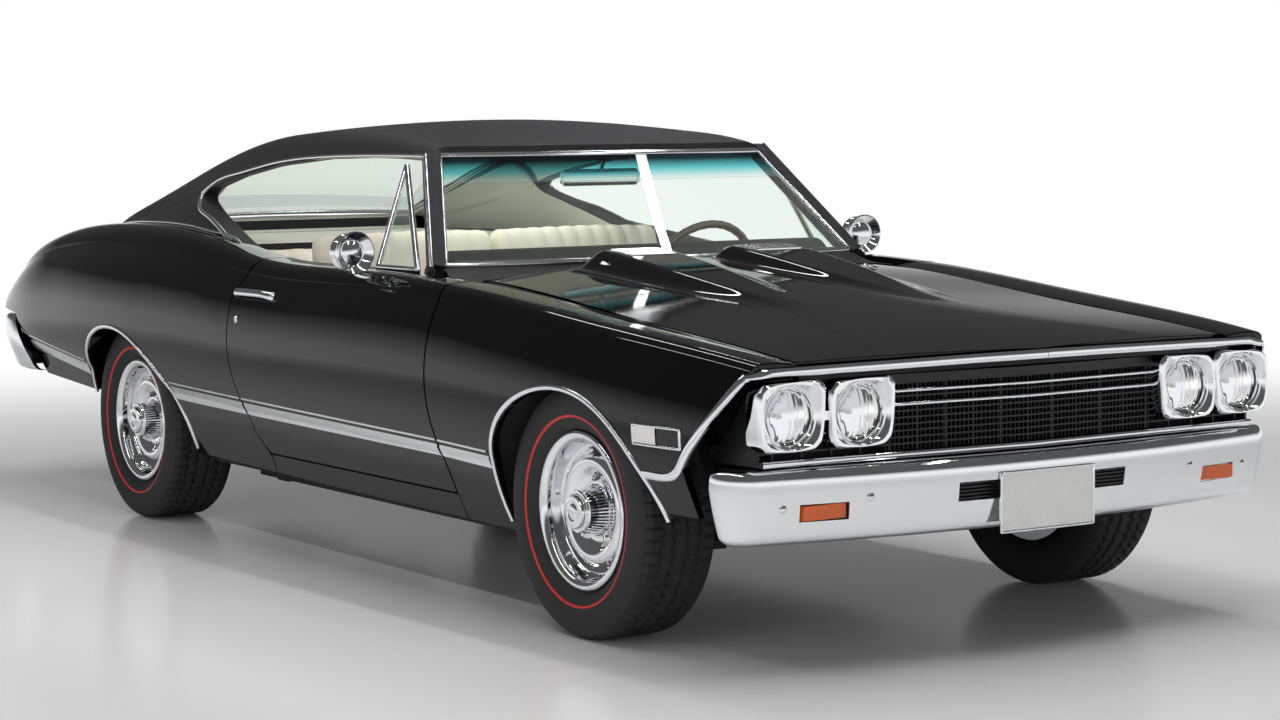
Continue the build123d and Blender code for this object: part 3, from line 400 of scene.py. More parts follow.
# %% Dress the frame
DRESS = {
    "paint": "fender_right fender_left door_right door_left quarter_right quarter_left hood trunk_lid "
    "nose_panel tail_panel",
    "vinyl_roof": "roof",
    "chrome": "headlamp_bezels front_bumper rear_bumper door_fittings_right door_fittings_left "
    "vent_frame_right vent_frame_left wheel_front_right wheel_front_left wheel_rear_right wheel_rear_left",
    "tinted_glass": "windscreen rear_window",
    "lamp_glass": "headlamp_lenses",
    "amber": "turn_lamps",
    "ruby": "tail_lamps",
    "satin_black": "grille",
    "dash_vinyl": "dashboard",
    "ivory_vinyl": "front_seat rear_seat",
    "carpet": "floor_pan rear_deck",
    "underbody": "chassis_frame firewall_cowl engine_bay fuel_tank front_suspension rear_axle",
    "cast_iron": "powertrain knuckle_right knuckle_left",
    "pipe_steel": "exhaust",
    "tyre": "tyre_front_right tyre_front_left tyre_rear_right tyre_rear_left",
    "rim_wood": "steering_wheel",
}


def dress_frame():
    done = 0
    for name, nodes in DRESS.items():
        for node in nodes.split():
            mesh = NODES[node].data
            mesh.materials.clear()
            mesh.materials.append(FINISH[name])
            done += 1
    return done


print("nodes dressed:", dress_frame())

# %% [markdown]
# ## Curves along the car
# A body line on a real car is drawn with a flexible batten through a few marked points. Blender's
# own curves could stand for the batten. A cubic solved as a table of weights was chosen, because
# the same table then bends widths, heights and whole rows of points at once. A circle through
# three points gives the sections across the car.

# %% Curves
MM = 0.001


def curve_weights(stations, places):
    """Weights that turn values at the stations into values at the places, on one smooth cubic."""
    t = np.asarray(stations, float)
    n = len(t)
    h = np.diff(t)
    left, right = np.zeros((n, n)), np.zeros((n, n))
    for i in range(1, n - 1):
        left[i, i - 1 : i + 2] = h[i - 1], 2 * (h[i - 1] + h[i]), h[i]
        right[i, i - 1 : i + 2] = 6 / h[i - 1], -6 / h[i - 1] - 6 / h[i], 6 / h[i]
    left[0, :3] = h[1], -(h[0] + h[1]), h[0]
    left[-1, -3:] = h[-1], -(h[-1] + h[-2]), h[-2]
    bend = np.linalg.solve(left, right)
    q = np.asarray(places, float).ravel()
    i = np.clip(np.searchsorted(t, q) - 1, 0, n - 2)
    a = (t[i + 1] - q) / h[i]
    b = 1 - a
    weights = np.zeros((len(q), n))
    rows = np.arange(len(q))
    weights[rows, i] += a
    weights[rows, i + 1] += b
    size = (h[i] ** 2 / 6)[:, None]
    return weights + ((a**3 - a)[:, None] * bend[i] + (b**3 - b)[:, None] * bend[i + 1]) * size


def arc_points(a, middle, b, count):
    """Points along the circle through three points, evenly spaced."""
    a, m, b = (np.asarray(p, float) for p in (a, middle, b))
    d = 2 * (a[0] * (m[1] - b[1]) + m[0] * (b[1] - a[1]) + b[0] * (a[1] - m[1]))
    x = (a @ a * (m[1] - b[1]) + m @ m * (b[1] - a[1]) + b @ b * (a[1] - m[1])) / d
    y = (a @ a * (b[0] - m[0]) + m @ m * (a[0] - b[0]) + b @ b * (m[0] - a[0])) / d
    centre = np.array([x, y])
    angles = np.unwrap([math.atan2(p[1] - y, p[0] - x) for p in (a, m, b)])
    turn = np.linspace(angles[0], angles[2], count)
    return centre + np.linalg.norm(a - centre) * np.stack([np.cos(turn), np.sin(turn)], 1)


def bulged(a, b, share):
    dw, dz = b[0] - a[0], b[1] - a[1]
    return ((a[0] + b[0]) / 2 - dz * share, (a[1] + b[1]) / 2 + dw * share)


SQUARES = curve_weights([0, 1, 2, 3], [1.5]) @ np.array([0.0, 1.0, 4.0, 9.0])
print("batten through the squares at 1.5:", round(float(SQUARES[0]), 3))

# %% [markdown]
# ## Grids and named pieces
# A pressed panel is one even sheet, so its mesh is best an even grid. Blender's Grid primitive has
# to be bent afterwards; here rows of points come first and the faces follow from their number. A
# finished mesh then becomes a named piece that rides its body and carries its slot.

# %% Grids and named pieces
def grid_faces(nu, nv, first=0):
    index = first + np.arange(nu * nv).reshape(nu, nv)
    quads = np.stack([index[:-1, :-1], index[:-1, 1:], index[1:, 1:], index[1:, :-1]], -1)
    return quads.reshape(-1, 4).tolist()


def grid_normals(points):
    along, down = np.gradient(points, axis=0), np.gradient(points, axis=1)
    normal = np.cross(down, along)
    return normal / (np.linalg.norm(normal, axis=2, keepdims=True) + 1e-12)


def add_object(name, mesh, body, material):
    piece = bpy.data.objects.new(name, mesh)
    bpy.context.collection.objects.link(piece)
    if material:
        mesh.materials.append(FINISH[material])
    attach(piece, body)
    return piece


print("faces of a grid of 3 by 4 points:", len(grid_faces(3, 4)))

# %% [markdown]
# ## Thin skins for the painted panels
# Gloss black forgives nothing: a mesh with uneven faces makes the mirrored lamps wobble. The panels
# could be subdivided, but their faces are uneven from the start. So each gets a thin outer skin, an
# even grid that lies a little above it, with the exact direction of the surface stored at every
# point. The skin's rim is turned in, so the shut lines keep their depth.

# %% Skins
SKIN_LIFT = 1.5


def skin_piece(name, blocks, body, material, mirror=False, rim=3.0):
    """One thin panel from grids of (points, normals); each grid's rim is turned in a little."""
    verts, normals, faces = [], [], []
    for points, normal in blocks:
        nu, nv = points.shape[:2]
        first = len(verts)
        faces += grid_faces(nu, nv, first)
        verts += points.reshape(-1, 3).tolist()
        normals += normal.reshape(-1, 3).tolist()
        ring = [(i, 0) for i in range(nu)] + [(nu - 1, j) for j in range(1, nv)]
        ring += [(i, nv - 1) for i in range(nu - 2, -1, -1)] + [(0, j) for j in range(nv - 2, 0, -1)]
        edge = np.array([points[i, j] for i, j in ring])
        lift = np.array([normal[i, j] for i, j in ring])
        run = np.roll(edge, -1, 0) - np.roll(edge, 1, 0)
        out = np.cross(run, lift)
        out /= np.linalg.norm(out, axis=1, keepdims=True) + 1e-12
        first = len(verts)
        count = len(ring)
        verts += edge.tolist() + (edge - lift * rim).tolist()
        normals += out.tolist() * 2
        for k in range(count):
            after = (k + 1) % count
            faces.append((first + k, first + after, first + count + after, first + count + k))
    verts, normals = np.array(verts) * MM, np.array(normals)
    if mirror:
        verts[:, 1] *= -1
        normals[:, 1] *= -1
        faces = [tuple(reversed(face)) for face in faces]
    mesh = bpy.data.meshes.new(name)
    mesh.from_pydata(verts.tolist(), [], faces)
    mesh.polygons.foreach_set("use_smooth", [True] * len(mesh.polygons))
    mesh.normals_split_custom_set_from_vertices(normals.tolist())
    return add_object(name, mesh, body, material)


def skin_pair(name, blocks, body, material="paint", rim=3.0):
    """A panel on the right and its mirror image on the left; {} stands for the side."""
    for side in SIDES:
        skin_piece(name.format(side), blocks, body.format(side), material, side == "left", rim)


print("skins lie", SKIN_LIFT, "mm above the panels")

# %% [markdown]
# ## Stations of the body side
# Fender, door, quarter panel and rocker are pressed separately, but the eye reads one long surface.
# Each could be shaped on its own and would then miss its neighbour by a little. So the whole side
# is one surface through the model's own stations: at each place along the car, six points run from
# the top's inner edge over the shoulder and the widest line down to the sill.

# %% Body side stations
# Columns: x, then width and height of top, crest, under the crest, widest line, crease and bottom
BODY_SIDE = [
    (-2495, (596, 772), (690, 768), (764, 742), (822, 670), (800, 530), (768, 385)),
    (-2340, (612, 850), (722, 850), (800, 800), (862, 682), (828, 522), (784, 365)),
    (-2065, (645, 924), (748, 926), (838, 862), (907, 690), (852, 508), (792, 330)),
    (-1838, (672, 962), (758, 964), (848, 892), (926, 693), (861, 499), (796, 310)),
    (-1580, (700, 984), (768, 986), (858, 914), (942, 695), (870, 490), (800, 290)),
    (-1182, (735, 994), (786, 996), (868, 930), (955, 695), (881, 477), (806, 264)),
    (-850, (748, 985), (802, 988), (878, 924), (956, 695), (885, 464), (808, 256)),
    (-560, (744, 956), (822, 962), (886, 906), (954, 695), (887, 456), (808, 252)),
    (-238, (726, 914), (840, 922), (892, 872), (950, 690), (888, 448), (808, 248)),
    (400, (706, 900), (842, 906), (888, 860), (943, 665), (886, 436), (806, 240)),
    (1005, (700, 884), (842, 890), (884, 850), (936, 645), (884, 428), (804, 236)),
    (1663, (700, 824), (836, 832), (876, 793), (925, 628), (884, 432), (802, 236)),
    (2150, (700, 780), (822, 788), (860, 752), (904, 612), (876, 445), (800, 260)),
    (2470, (700, 744), (796, 750), (832, 716), (866, 604), (848, 455), (790, 300)),
]
STEPS, TOP_BULGE, CREST_BULGE = 64, 0.03, 0.17
SIDE_X = [row[0] for row in BODY_SIDE]


def side_station(row):
    top, crest, under, widest, crease, bottom = row[1:]
    parts = [arc_points(top, bulged(top, crest, TOP_BULGE), crest, STEPS + 1)]
    parts.append(arc_points(crest, bulged(crest, under, CREST_BULGE), under, STEPS + 1)[1:])
    parts.append(arc_points(under, widest, crease, STEPS + 1)[1:])
    parts.append(np.linspace(crease, bottom, STEPS + 1)[1:])
    return np.concatenate(parts)


SIDE_TABLE = np.array([side_station(row) for row in BODY_SIDE])
print("body side from", SIDE_X[0], "to", SIDE_X[-1])

# %% [markdown]
# ## Points on the body side
# A shut line is drawn at a length and a height, so every panel asks the surface for such points. A
# ray could be cast at the model. Halving the interval is used instead, because the surface is a
# formula here and the answer is as exact as wished. The direction comes from two near points.

# %% Points on the body side
def side_at(x, s):
    """Half-width and height of the body side at x, where s runs from 0 at the top to 4 at the sill."""
    x, s = np.broadcast_arrays(np.asarray(x, float), np.asarray(s, float))
    k = np.clip(s.ravel() * STEPS, 0, 4 * STEPS - 1e-6)
    low = k.astype(int)
    part = (k - low)[:, None]
    at = SIDE_TABLE[:, low] * (1 - part) + SIDE_TABLE[:, low + 1] * part
    both = np.einsum("qs,sqc->qc", curve_weights(SIDE_X, x), at)
    return both[:, 0].reshape(x.shape), both[:, 1].reshape(x.shape)


def side_where(x, z, low=1.0, high=4.0):
    """The place s at which the body side has the height z."""
    x, z = np.broadcast_arrays(np.asarray(x, float), np.asarray(z, float))
    a, b = np.full(x.shape, low), np.full(x.shape, high)
    for _ in range(26):
        middle = (a + b) / 2
        above = side_at(x, middle)[1] > z
        a, b = np.where(above, middle, a), np.where(above, b, middle)
    return (a + b) / 2


def side_normal(x, s):
    """Outward direction of the right-hand body side."""
    dx, ds = 2.0, 0.004
    w1, z1 = side_at(x + dx, s)
    w0, z0 = side_at(x - dx, s)
    w3, z3 = side_at(x, np.minimum(s + ds, 4))
    w2, z2 = side_at(x, np.maximum(s - ds, 0))
    along = np.stack([np.full(np.shape(w1), 2 * dx), -(w1 - w0), z1 - z0], -1)
    down = np.stack([np.zeros(np.shape(w1)), -(w3 - w2), z3 - z2], -1)
    normal = np.cross(down, along)
    return normal / np.linalg.norm(normal, axis=-1, keepdims=True)


def side_block(x, s, lift=SKIN_LIFT):
    """Points and normals of a piece of the right-hand body side."""
    x, s = np.broadcast_arrays(x, s)
    w, z = side_at(x, s)
    normal = side_normal(x, s)
    return np.stack([x, -w, z], -1) + normal * lift, normal


print("widest half-width at the door:", round(float(side_at(400, 2.5)[0]), 1))

# %% [markdown]
# ## Grids round a wheel opening
# A wheel opening bites an ellipse out of the fender. It could be cut with a Boolean, which leaves
# long thin faces that show in gloss paint. So three grids share the panel: one above the opening,
# one in front and one behind. The rows of the lower grids follow the ellipse by its angle, so
# their edge is as round as the opening itself.

# %% Grids round a wheel opening
FRONT_AXLE, REAR_AXLE = 1663.0, -1182.0
AXLES = (("front", FRONT_AXLE), ("rear", REAR_AXLE))
ARCH_HALF, ARCH_RISE, ARCH_Z, ARCH_AHEAD = 398.0, 338.0, 312.0, 8.0
ARCH_TOP = ARCH_Z + ARCH_RISE
SHOULDER_Z = 900.0


def table(pairs):
    """A straight-line function from (value, result) pairs."""
    keys, values = zip(*pairs)
    return lambda value: np.interp(value, keys, values)


def panel_grid(back, front, guess, columns, low, first, rows):
    """One grid from the top down to the height low, between two edges that depend on height."""
    u = np.linspace(0, 1, columns)[:, None]
    x = guess[0] + (guess[1] - guess[0]) * u
    for _ in range(6):
        start = first(x[:, :1])
        last = side_where(x[:, -1:], np.full((columns, 1), low))
        steps = [start + (1 - start) * v for v in np.linspace(0, 1, rows[0])]
        steps += [np.ones((columns, 1)) + v for v in np.linspace(0, 1, rows[1])[1:]]
        steps += [2 + (last - 2) * v for v in np.linspace(0, 1, rows[2])[1:]]
        s = np.concatenate(steps, 1)
        z = side_at(np.broadcast_to(x, s.shape), s)[1]
        x = back(z) + (front(z) - back(z)) * u
    return side_block(x, s)


def upper_block(back, front, columns):
    guess = back(SHOULDER_Z), front(SHOULDER_Z)
    return panel_grid(back, front, guess, columns, ARCH_TOP, np.zeros_like, (6, 15, 12))


def lower_block(axle, ahead, far, lowest, columns, rows=26):
    """The grid beside a wheel opening, from the opening's edge to a far edge that depends on height."""
    u = np.linspace(0, 1, columns)[:, None]
    v = np.linspace(0, 1, rows)[None, :]
    centre = axle + ARCH_AHEAD
    x = np.full((columns, rows), centre + ahead * ARCH_HALF)
    for _ in range(8):
        low = lowest(x)
        reach = np.arccos(np.clip((low - ARCH_Z) / ARCH_RISE, -1, 1))
        angle = reach * v
        z = ARCH_Z + ARCH_RISE * np.cos(angle)
        near = centre + ahead * ARCH_HALF * np.sin(angle)
        end = far(z)
        x = near + (end - near) * u
    order = slice(None) if ahead > 0 else slice(None, None, -1)
    x, z = x[order], z[order]
    return side_block(x, side_where(x, z))


def sill_height(x):
    return side_at(x, np.full(np.shape(x), 4.0))[1] + 0.5


print("wheel opening:", 2 * ARCH_HALF, "mm wide, top at", ARCH_TOP)

# %% [markdown]
# ## Fenders
# The front fender runs from the door to the headlamps. Its front edge leans with the nose, so it is
# given as a table of heights. Along its rear edge the skin is laid almost flat on the panel,
# because the door's front edge swings past it there. A gap in the model would also do, but would
# show as a wide shut line.

# %% Fenders
FENDER_REAR, HUG_LENGTH, HUG_LIFT = 1008, 60, 0.3
FENDER_FOOT = 374.0
fender_back = table([(0, FENDER_REAR), (2000, FENDER_REAR)])
FENDER_FRONT = [(374, 2206), (502, 2206), (562, 2250), (637, 2322), (700, 2372), (748, 2410), (1000, 2416)]
fender_front = table(FENDER_FRONT)


def hugged(block):
    points, normal = block
    share = np.clip(1 - (points[..., 0] - FENDER_REAR) / HUG_LENGTH, 0, 1)
    down = share * (SKIN_LIFT - HUG_LIFT)
    return points - normal * down[..., None], normal


fender_blocks = [
    hugged(upper_block(fender_back, fender_front, 130)),
    hugged(lower_block(FRONT_AXLE, -1, fender_back, sill_height, 40)),
    lower_block(FRONT_AXLE, 1, fender_front, lambda x: np.full(np.shape(x), FENDER_FOOT), 40),
]
skin_pair("fender_skin_{}", fender_blocks, "body")
print("fender grids:", [part[0].shape[:2] for part in fender_blocks])

# %% [markdown]
# ## Quarter panels
# The quarter panel reaches from the door round the rear wheel to the tail. It is made like the
# fender. Its lower edge rises behind the wheel, toward the bumper, and follows its own table.

# %% Quarter panels
quarter_front = table([(150, -210), (306, -184), (372, -241), (800, -241), (912, -172), (1060, -132)])
quarter_back = table([(432, -2066), (648, -2222), (652, -2436), (762, -2478), (1060, -2478)])
quarter_low = table([(-2066, 432), (-1300, 396)])
quarter_blocks = [
    upper_block(quarter_back, quarter_front, 190),
    lower_block(REAR_AXLE, 1, quarter_front, sill_height, 40),
    lower_block(REAR_AXLE, -1, quarter_back, quarter_low, 40),
]
skin_pair("quarter_skin_{}", quarter_blocks, "body")
print("quarter grids:", [part[0].shape[:2] for part in quarter_blocks])

# %% [markdown]
# ## Doors and rockers
# A door skin is one grid, since no wheel bites into it. Its rear edge sweeps forward at the foot
# and again at the top. The edges depend on the height and the height on the place, so the grid is
# settled in a few rounds instead of being solved. The rocker below it closes the side down to the
# sill and stays on the body when the door opens.

# %% Doors and rockers
DOOR_REAR = [(312, -178), (372, -235), (800, -235), (912, -162), (1000, -112)]
DOOR_FRONT, DOOR_LOW, DOOR_TOP_W = 1002, 312.0, 786
ROCKER_REAR = [(150, -208), (306, -176)]
ROCKER_FRONT, ROCKER_TOP = 1007.6, 306


def door_start(x):
    """Where the door's skin starts, a little outside the top's inner edge."""
    top_w, crest_w = (side_at(x, np.full(x.shape, s))[0] for s in (0.0, 1.0))
    return (DOOR_TOP_W - top_w) / (crest_w - top_w)


def rocker_block():
    back = table(ROCKER_REAR)
    u, v = np.linspace(0, 1, 80)[:, None], np.linspace(0, 1, 8)[None, :]
    x = -200 + 1204 * u + 0 * v
    for _ in range(5):
        z = ROCKER_TOP + (sill_height(x) - ROCKER_TOP) * v
        x = back(z) + (ROCKER_FRONT - back(z)) * u
    return side_block(x, side_where(x, z))


door_edges = table(DOOR_REAR), table([(0, DOOR_FRONT), (2000, DOOR_FRONT)])
door = panel_grid(*door_edges, (-200, DOOR_FRONT), 130, DOOR_LOW, door_start, (4, 15, 30))
skin_pair("door_skin_{}", [door], "door_{}")
skin_pair("rocker_skin_{}", [rocker_block()], "body")
print("side panels:", 4 * len(SIDES))

# %% [markdown]
# ## Tools for turned pieces
# Wheels, lamps and knobs are turned on a lathe, and so they are here: a profile goes round an axis,
# and a shift may move its points by angle for slots and ribs. Blender's Screw modifier turns
# profiles too, but can't cut slots on the way.

# %% Tools for turned pieces
def unit(vectors):
    vectors = np.asarray(vectors, float)
    return vectors / (np.linalg.norm(vectors, axis=-1, keepdims=True) + 1e-12)


def smooth_path(points, count):
    """Evenly spaced points on one smooth curve through the given ones."""
    points = np.asarray(points, float)
    run = np.concatenate([[0], np.cumsum(np.linalg.norm(np.diff(points, axis=0), axis=1))])
    return curve_weights(run, np.linspace(0, run[-1], count)) @ points


def strip_faces(n, m, closed=True):
    """Faces between n rows of m points, each row joined to the next; closed joins the last to the first."""
    index = np.arange(n * m).reshape(n, m)
    after = np.roll(index, -1, 0)
    if not closed:
        index, after = index[:-1], after[:-1]
    faces = np.stack([index[:, :-1], after[:, :-1], after[:, 1:], index[:, 1:]], -1)
    return faces.reshape(-1, 4).tolist()


def lathe(profile, count, origin, axis, start, shift=None):
    """A profile of (radius, out) turned about an axis; shift may move points by angle."""
    angle = np.linspace(0, 2 * math.pi, count, endpoint=False)[:, None]
    radius, out = (np.broadcast_to(v, (count, len(profile))) for v in np.array(profile, float).T)
    if shift:
        radius, out = shift(angle, radius, out)
    a = unit(axis)
    b = unit(start)
    c = np.cross(a, b)
    spin = np.cos(angle)[..., None] * b + np.sin(angle)[..., None] * c
    points = np.asarray(origin, float) + out[..., None] * a + radius[..., None] * spin
    return points.reshape(-1, 3), strip_faces(*points.shape[:2])


print("faces of a ring of 6 by 3 points:", len(strip_faces(6, 3)))

# %% [markdown]
# ## From parts to pieces
# A wheel or a lamp is many parts but one piece. They could be joined as objects in Blender, which
# needs a selection and a context. Lists of points and faces are simply put end to end instead, and
# each face keeps the mark of its finish. What the right side has, the left side mirrors.

# %% From parts to pieces
def add_mesh(name, parts, body, materials, mirror=False, sharp=35):
    """Joins parts of (points, faces) or (points, faces, marks) into one piece."""
    materials = materials if isinstance(materials, tuple) else (materials,)
    points, faces, marks = [], [], []
    for part in parts:
        first = len(points)
        points += np.reshape(part[0], (-1, 3)).tolist()
        faces += [[first + i for i in face] for face in part[1]]
        marks += list(part[2]) if len(part) > 2 else [0] * len(part[1])
    points = np.array(points) * MM
    if mirror:
        points[:, 1] *= -1
        faces = [face[::-1] for face in faces]
    mesh = bpy.data.meshes.new(name)
    mesh.from_pydata(points.tolist(), [], faces)
    for material in materials:
        mesh.materials.append(FINISH[material])
    mesh.polygons.foreach_set("material_index", marks)
    mesh.polygons.foreach_set("use_smooth", [True] * len(faces))
    mesh.set_sharp_from_angle(angle=math.radians(sharp))
    return add_object(name, mesh, body, None)


def mesh_pair(name, parts, body, materials, sharp=35, node=None):
    """A piece on the right and its mirror image on the left; {} stands for the side."""
    for side in SIDES:
        left = side == "left"
        piece = add_mesh(name.format(side), parts, body.format(side), materials, left, sharp)
        if node:
            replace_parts(piece, node.format(side))


print("sides:", SIDES)

# %% [markdown]
# ## Wheel dish and slots
# A polished ring holds a deep dish with five dark slots. Slots could be cut with Booleans into a
# plain dish. Here the dish is one finely turned grid: where a slot lies its points are pushed in
# and its faces turn black, which keeps the edge of each slot soft, as it is on pressed steel.

# %% Wheel dish
TRACK_HALF, TYRE_R = 750.0, 332.0
RING = [(206.2, 82), (207, 89), (205.5, 94.5), (201, 97.5), (194, 97), (187, 93.5), (182, 88), (180, 83)]
DISH = [(181, 86), (178, 72), (174, 54), (168, 45), (160, 45), (150, 52), (139, 61), (127, 65), (114, 63)]
DISH += [(100, 55), (88, 48), (78, 45), (68, 45)]
DISH_STEPS = 260
SLOTS, SLOT_R, SLOT_WIDE, SLOT_HIGH, SLOT_DEEP, SLOT_TOP = 5, 153, 36, 10, 16, 75


def at_hub(axle):
    """Where a right-hand wheel is turned: its centre, its axis and where the turn starts."""
    return dict(origin=(axle, -TRACK_HALF, TYRE_R), axis=(0, -1, 0), start=(1, 0, 0))


def slot_depth(angle, radius):
    turn = 2 * math.pi / SLOTS
    off = (angle - math.pi / 2 + turn / 2) % turn - turn / 2
    far = (np.abs(off) * radius / SLOT_WIDE) ** 4 + (np.abs(radius - SLOT_R) / SLOT_HIGH) ** 4
    return np.clip(1.25 - far, 0, 0.5) * 2


def sink_slots(angle, radius, out):
    return radius, out - SLOT_DEEP * slot_depth(angle, radius) * (out < SLOT_TOP)


def dish_part(axle):
    line = smooth_path(DISH, 56)
    points, faces = lathe(line, DISH_STEPS, shift=sink_slots, **at_hub(axle))
    angle = np.linspace(0, 2 * math.pi, DISH_STEPS, endpoint=False)[:, None]
    deep = slot_depth(angle, line[None, :, 0]) * (line[None, :, 1] < SLOT_TOP) > 0.5
    ahead = np.roll(deep, -1, 0)
    dark = deep[:, :-1] & deep[:, 1:] & ahead[:, :-1] & ahead[:, 1:]
    return points, faces, dark.ravel().astype(int)


print("dish faces:", len(dish_part(FRONT_AXLE)[1]))

# %% [markdown]
# ## Hub cone, cap and nuts
# A ribbed cone stands in the dish, closed by a plain stepped cap and ringed by five nuts. The ribs
# could be single bars in a circle. A square wave on the radius of one turned cone gives them
# instead, with the gaps between them marked black. A barrel behind closes the rim.

# %% Hub cone, cap and nuts
CONE = [(67, 44), (66, 48), (64, 53), (62, 62), (59, 76), (56, 90), (54.5, 97), (54, 100)]
CAP = [(56, 98), (56.5, 102), (54, 106), (49, 107), (46, 106), (45.5, 112), (42, 117), (34, 119.5)]
CAP += [(24, 119), (22, 117.5), (20, 119), (16, 121), (8, 122), (0.2, 122.3)]
BARREL = [(206, 95), (206, 84), (195, 84), (195, -84), (206, -84), (206, -95), (181, -95), (181, 60)]
NUT = [(0.1, 0), (9, 0), (9, 16), (6, 21), (0.1, 22)]
NUT_CIRCLE, NUT_OUT = 84, 40
RIBS, RIB_STEPS, RIB_DEEP = 44, 8, 6
RIB_FROM, RIB_TO = 50, 98


def rib_wave(angle, radius, out):
    wave = np.where((angle * RIBS / (2 * math.pi)) % 1 < 0.5, 0.0, 1.0)
    inside = (out > RIB_FROM) & (out < RIB_TO)
    return radius - RIB_DEEP * wave * inside, out


def cone_part(axle):
    points, faces = lathe(CONE, RIBS * RIB_STEPS, shift=rib_wave, **at_hub(axle))
    step = np.arange(RIBS * RIB_STEPS) % RIB_STEPS
    gap = (step >= 4) & (step < 7)
    rows = np.array([RIB_FROM < (a[1] + b[1]) / 2 < RIB_TO for a, b in zip(CONE, CONE[1:])])
    return points, faces, (gap[:, None] & rows[None, :]).ravel().astype(int)


def nut_parts(axle):
    nuts = []
    for k in range(SLOTS):
        turn = 2 * math.pi * k / SLOTS + math.pi / 2
        x, z = axle + NUT_CIRCLE * math.cos(turn), TYRE_R + NUT_CIRCLE * math.sin(turn)
        nuts.append(lathe(NUT, 6, (x, -TRACK_HALF - NUT_OUT, z), (0, -1, 0), (1, 0, 0)))
    return nuts


for place, axle in AXLES:
    ring = lathe(smooth_path(RING, 18), 128, **at_hub(axle))
    cap, barrel = lathe(CAP, 72, **at_hub(axle)), lathe(BARREL, 96, **at_hub(axle))
    parts = [ring, dish_part(axle), cone_part(axle), cap, barrel, *nut_parts(axle)]
    wheel = f"wheel_{place}_{{}}"
    mesh_pair(wheel + "_polished", parts, wheel, ("chrome", "satin_black"), node=wheel)
print("wheels:", len(AXLES) * len(SIDES))

# %% [markdown]
# ## Tyres
# The sidewall is one arc from the rim to the shoulder, with two fine ridges. The tread has four
# zigzag grooves and short slits. They could be a bump in the material, but then the tyre's edge
# would stay smooth against the light. So the points of the turned tyre are pushed in. A thin red
# ring is a turned piece of its own on the outer wall.

# %% Tyres
WALL_ENDS = ((207, 83.6), (263.4, 116), (320, 106))
WALL_ARC = arc_points(*WALL_ENDS, 22)
TYRE_EDGE = np.array([(324, 101), (328.5, 95), (331.2, 90)])
TREAD = np.stack([np.full(37, TYRE_R), np.linspace(88, -88, 37)], 1)
TYRE_LINE = [WALL_ARC, TYRE_EDGE, TREAD, (TYRE_EDGE * (1, -1))[::-1], (WALL_ARC * (1, -1))[::-1]]
TYRE_LINE = np.concatenate(TYRE_LINE)
PITCH, PITCH_STEPS = 64, 5
GROOVES, GROOVE_HALF, SHOULDER_OUT = (-56, -20, 20, 56), 4.6, 56
GROOVE_DEEP, SLIT_DEEP, FINE_DEEP, ZIGZAG = 7.0, 5.0, 2.5, 5
TREAD_R, SLIT_R = 330, 322
# Columns: radius, half-width
RIDGES, RIDGE_HIGH = ((226, 2.2), (300, 2.5)), 1.2
RED_FROM, RED_TO = 243, 250


def cut_tread(angle, radius, out):
    turn = angle * PITCH / (2 * math.pi) % 1
    zigzag = ZIGZAG * (np.abs(turn - 0.5) * 4 - 1)
    groove = sum((np.abs(out - centre - zigzag) < GROOVE_HALF) for centre in GROOVES) > 0
    slit = ((turn + 0.35) % 1 < 0.16) & (np.abs(out) > SHOULDER_OUT) & (radius > SLIT_R)
    fine = ((turn + 0.6) % 1 < 0.08) & (np.abs(out) < SHOULDER_OUT)
    deep = np.where(groove & (radius > TREAD_R), GROOVE_DEEP, 0)
    deep = deep + np.where(slit & ~groove, SLIT_DEEP, 0) + np.where(fine & ~groove, FINE_DEEP, 0)
    ridge = sum(RIDGE_HIGH * np.exp(-(((radius - r) / wide) ** 2)) for r, wide in RIDGES)
    return radius - deep, out + np.sign(out) * ridge


red = arc_points(*WALL_ENDS, 400)
red = red[(red[:, 0] > RED_FROM) & (red[:, 0] < RED_TO)][::3] + (0, 0.7)
red = np.concatenate([[red[0] - (0, 2)], red, [red[-1] - (0, 2)]])
for place, axle in AXLES:
    body, node = f"wheel_{place}_{{}}", f"tyre_{place}_{{}}"
    tyre = lathe(TYRE_LINE, PITCH * PITCH_STEPS, shift=cut_tread, **at_hub(axle))
    mesh_pair(node + "_treaded", [tyre], body, "tyre", node=node)
    mesh_pair(f"red_line_{place}_{{}}", [lathe(red, 160, **at_hub(axle))], body, "red_line")
print("tyres:", len(AXLES) * len(SIDES), "with", PITCH, "pitches")

# %% [markdown]
# ## The top of the hood
# The hood has a low plateau between two creases, and two long bulges that rise toward the
# windscreen. It could be sculpted. A formula of length and width was chosen, because the bulges
# then end in the plateau without a seam: five stations give edge, crease and crown, four more give
# the bulges' width and height, and the two heights are blended where they meet.

# %% Hood surface
HOOD_X = [905, 1005, 1663, 2150, 2470]
HOOD_EDGE_Z = [887, 884, 824, 780, 744]
HOOD_CREASE_W = [256, 258, 282, 372, 486]
HOOD_CREASE_Z = [920, 912, 846, 794, 752]
HOOD_CROWN_Z = [930, 922, 856, 802, 757]
HOOD_HALF = 690
BULGE_X = [960, 1180, 1430, 1660]
BULGE_HALF = [198, 190, 168, 118]
BULGE_HIGH = [40, 34, 20, 3]
BULGE_W, BULGE_FLANK, BULGE_SOFT = 222.0, 104.0, 16.0
BULGE_LIFT, BULGE_SINK, BULGE_FADE = 12, 16, 0.1
BULGE_END, BULGE_DROP, BULGE_DROP_LENGTH = 958, 60, 46


def along_hood(values, x):
    return (curve_weights(HOOD_X, x) @ np.array(values, float)).reshape(np.shape(x))


def eased(share):
    share = np.clip(share, 0, 1)
    return share * share * (3 - 2 * share)


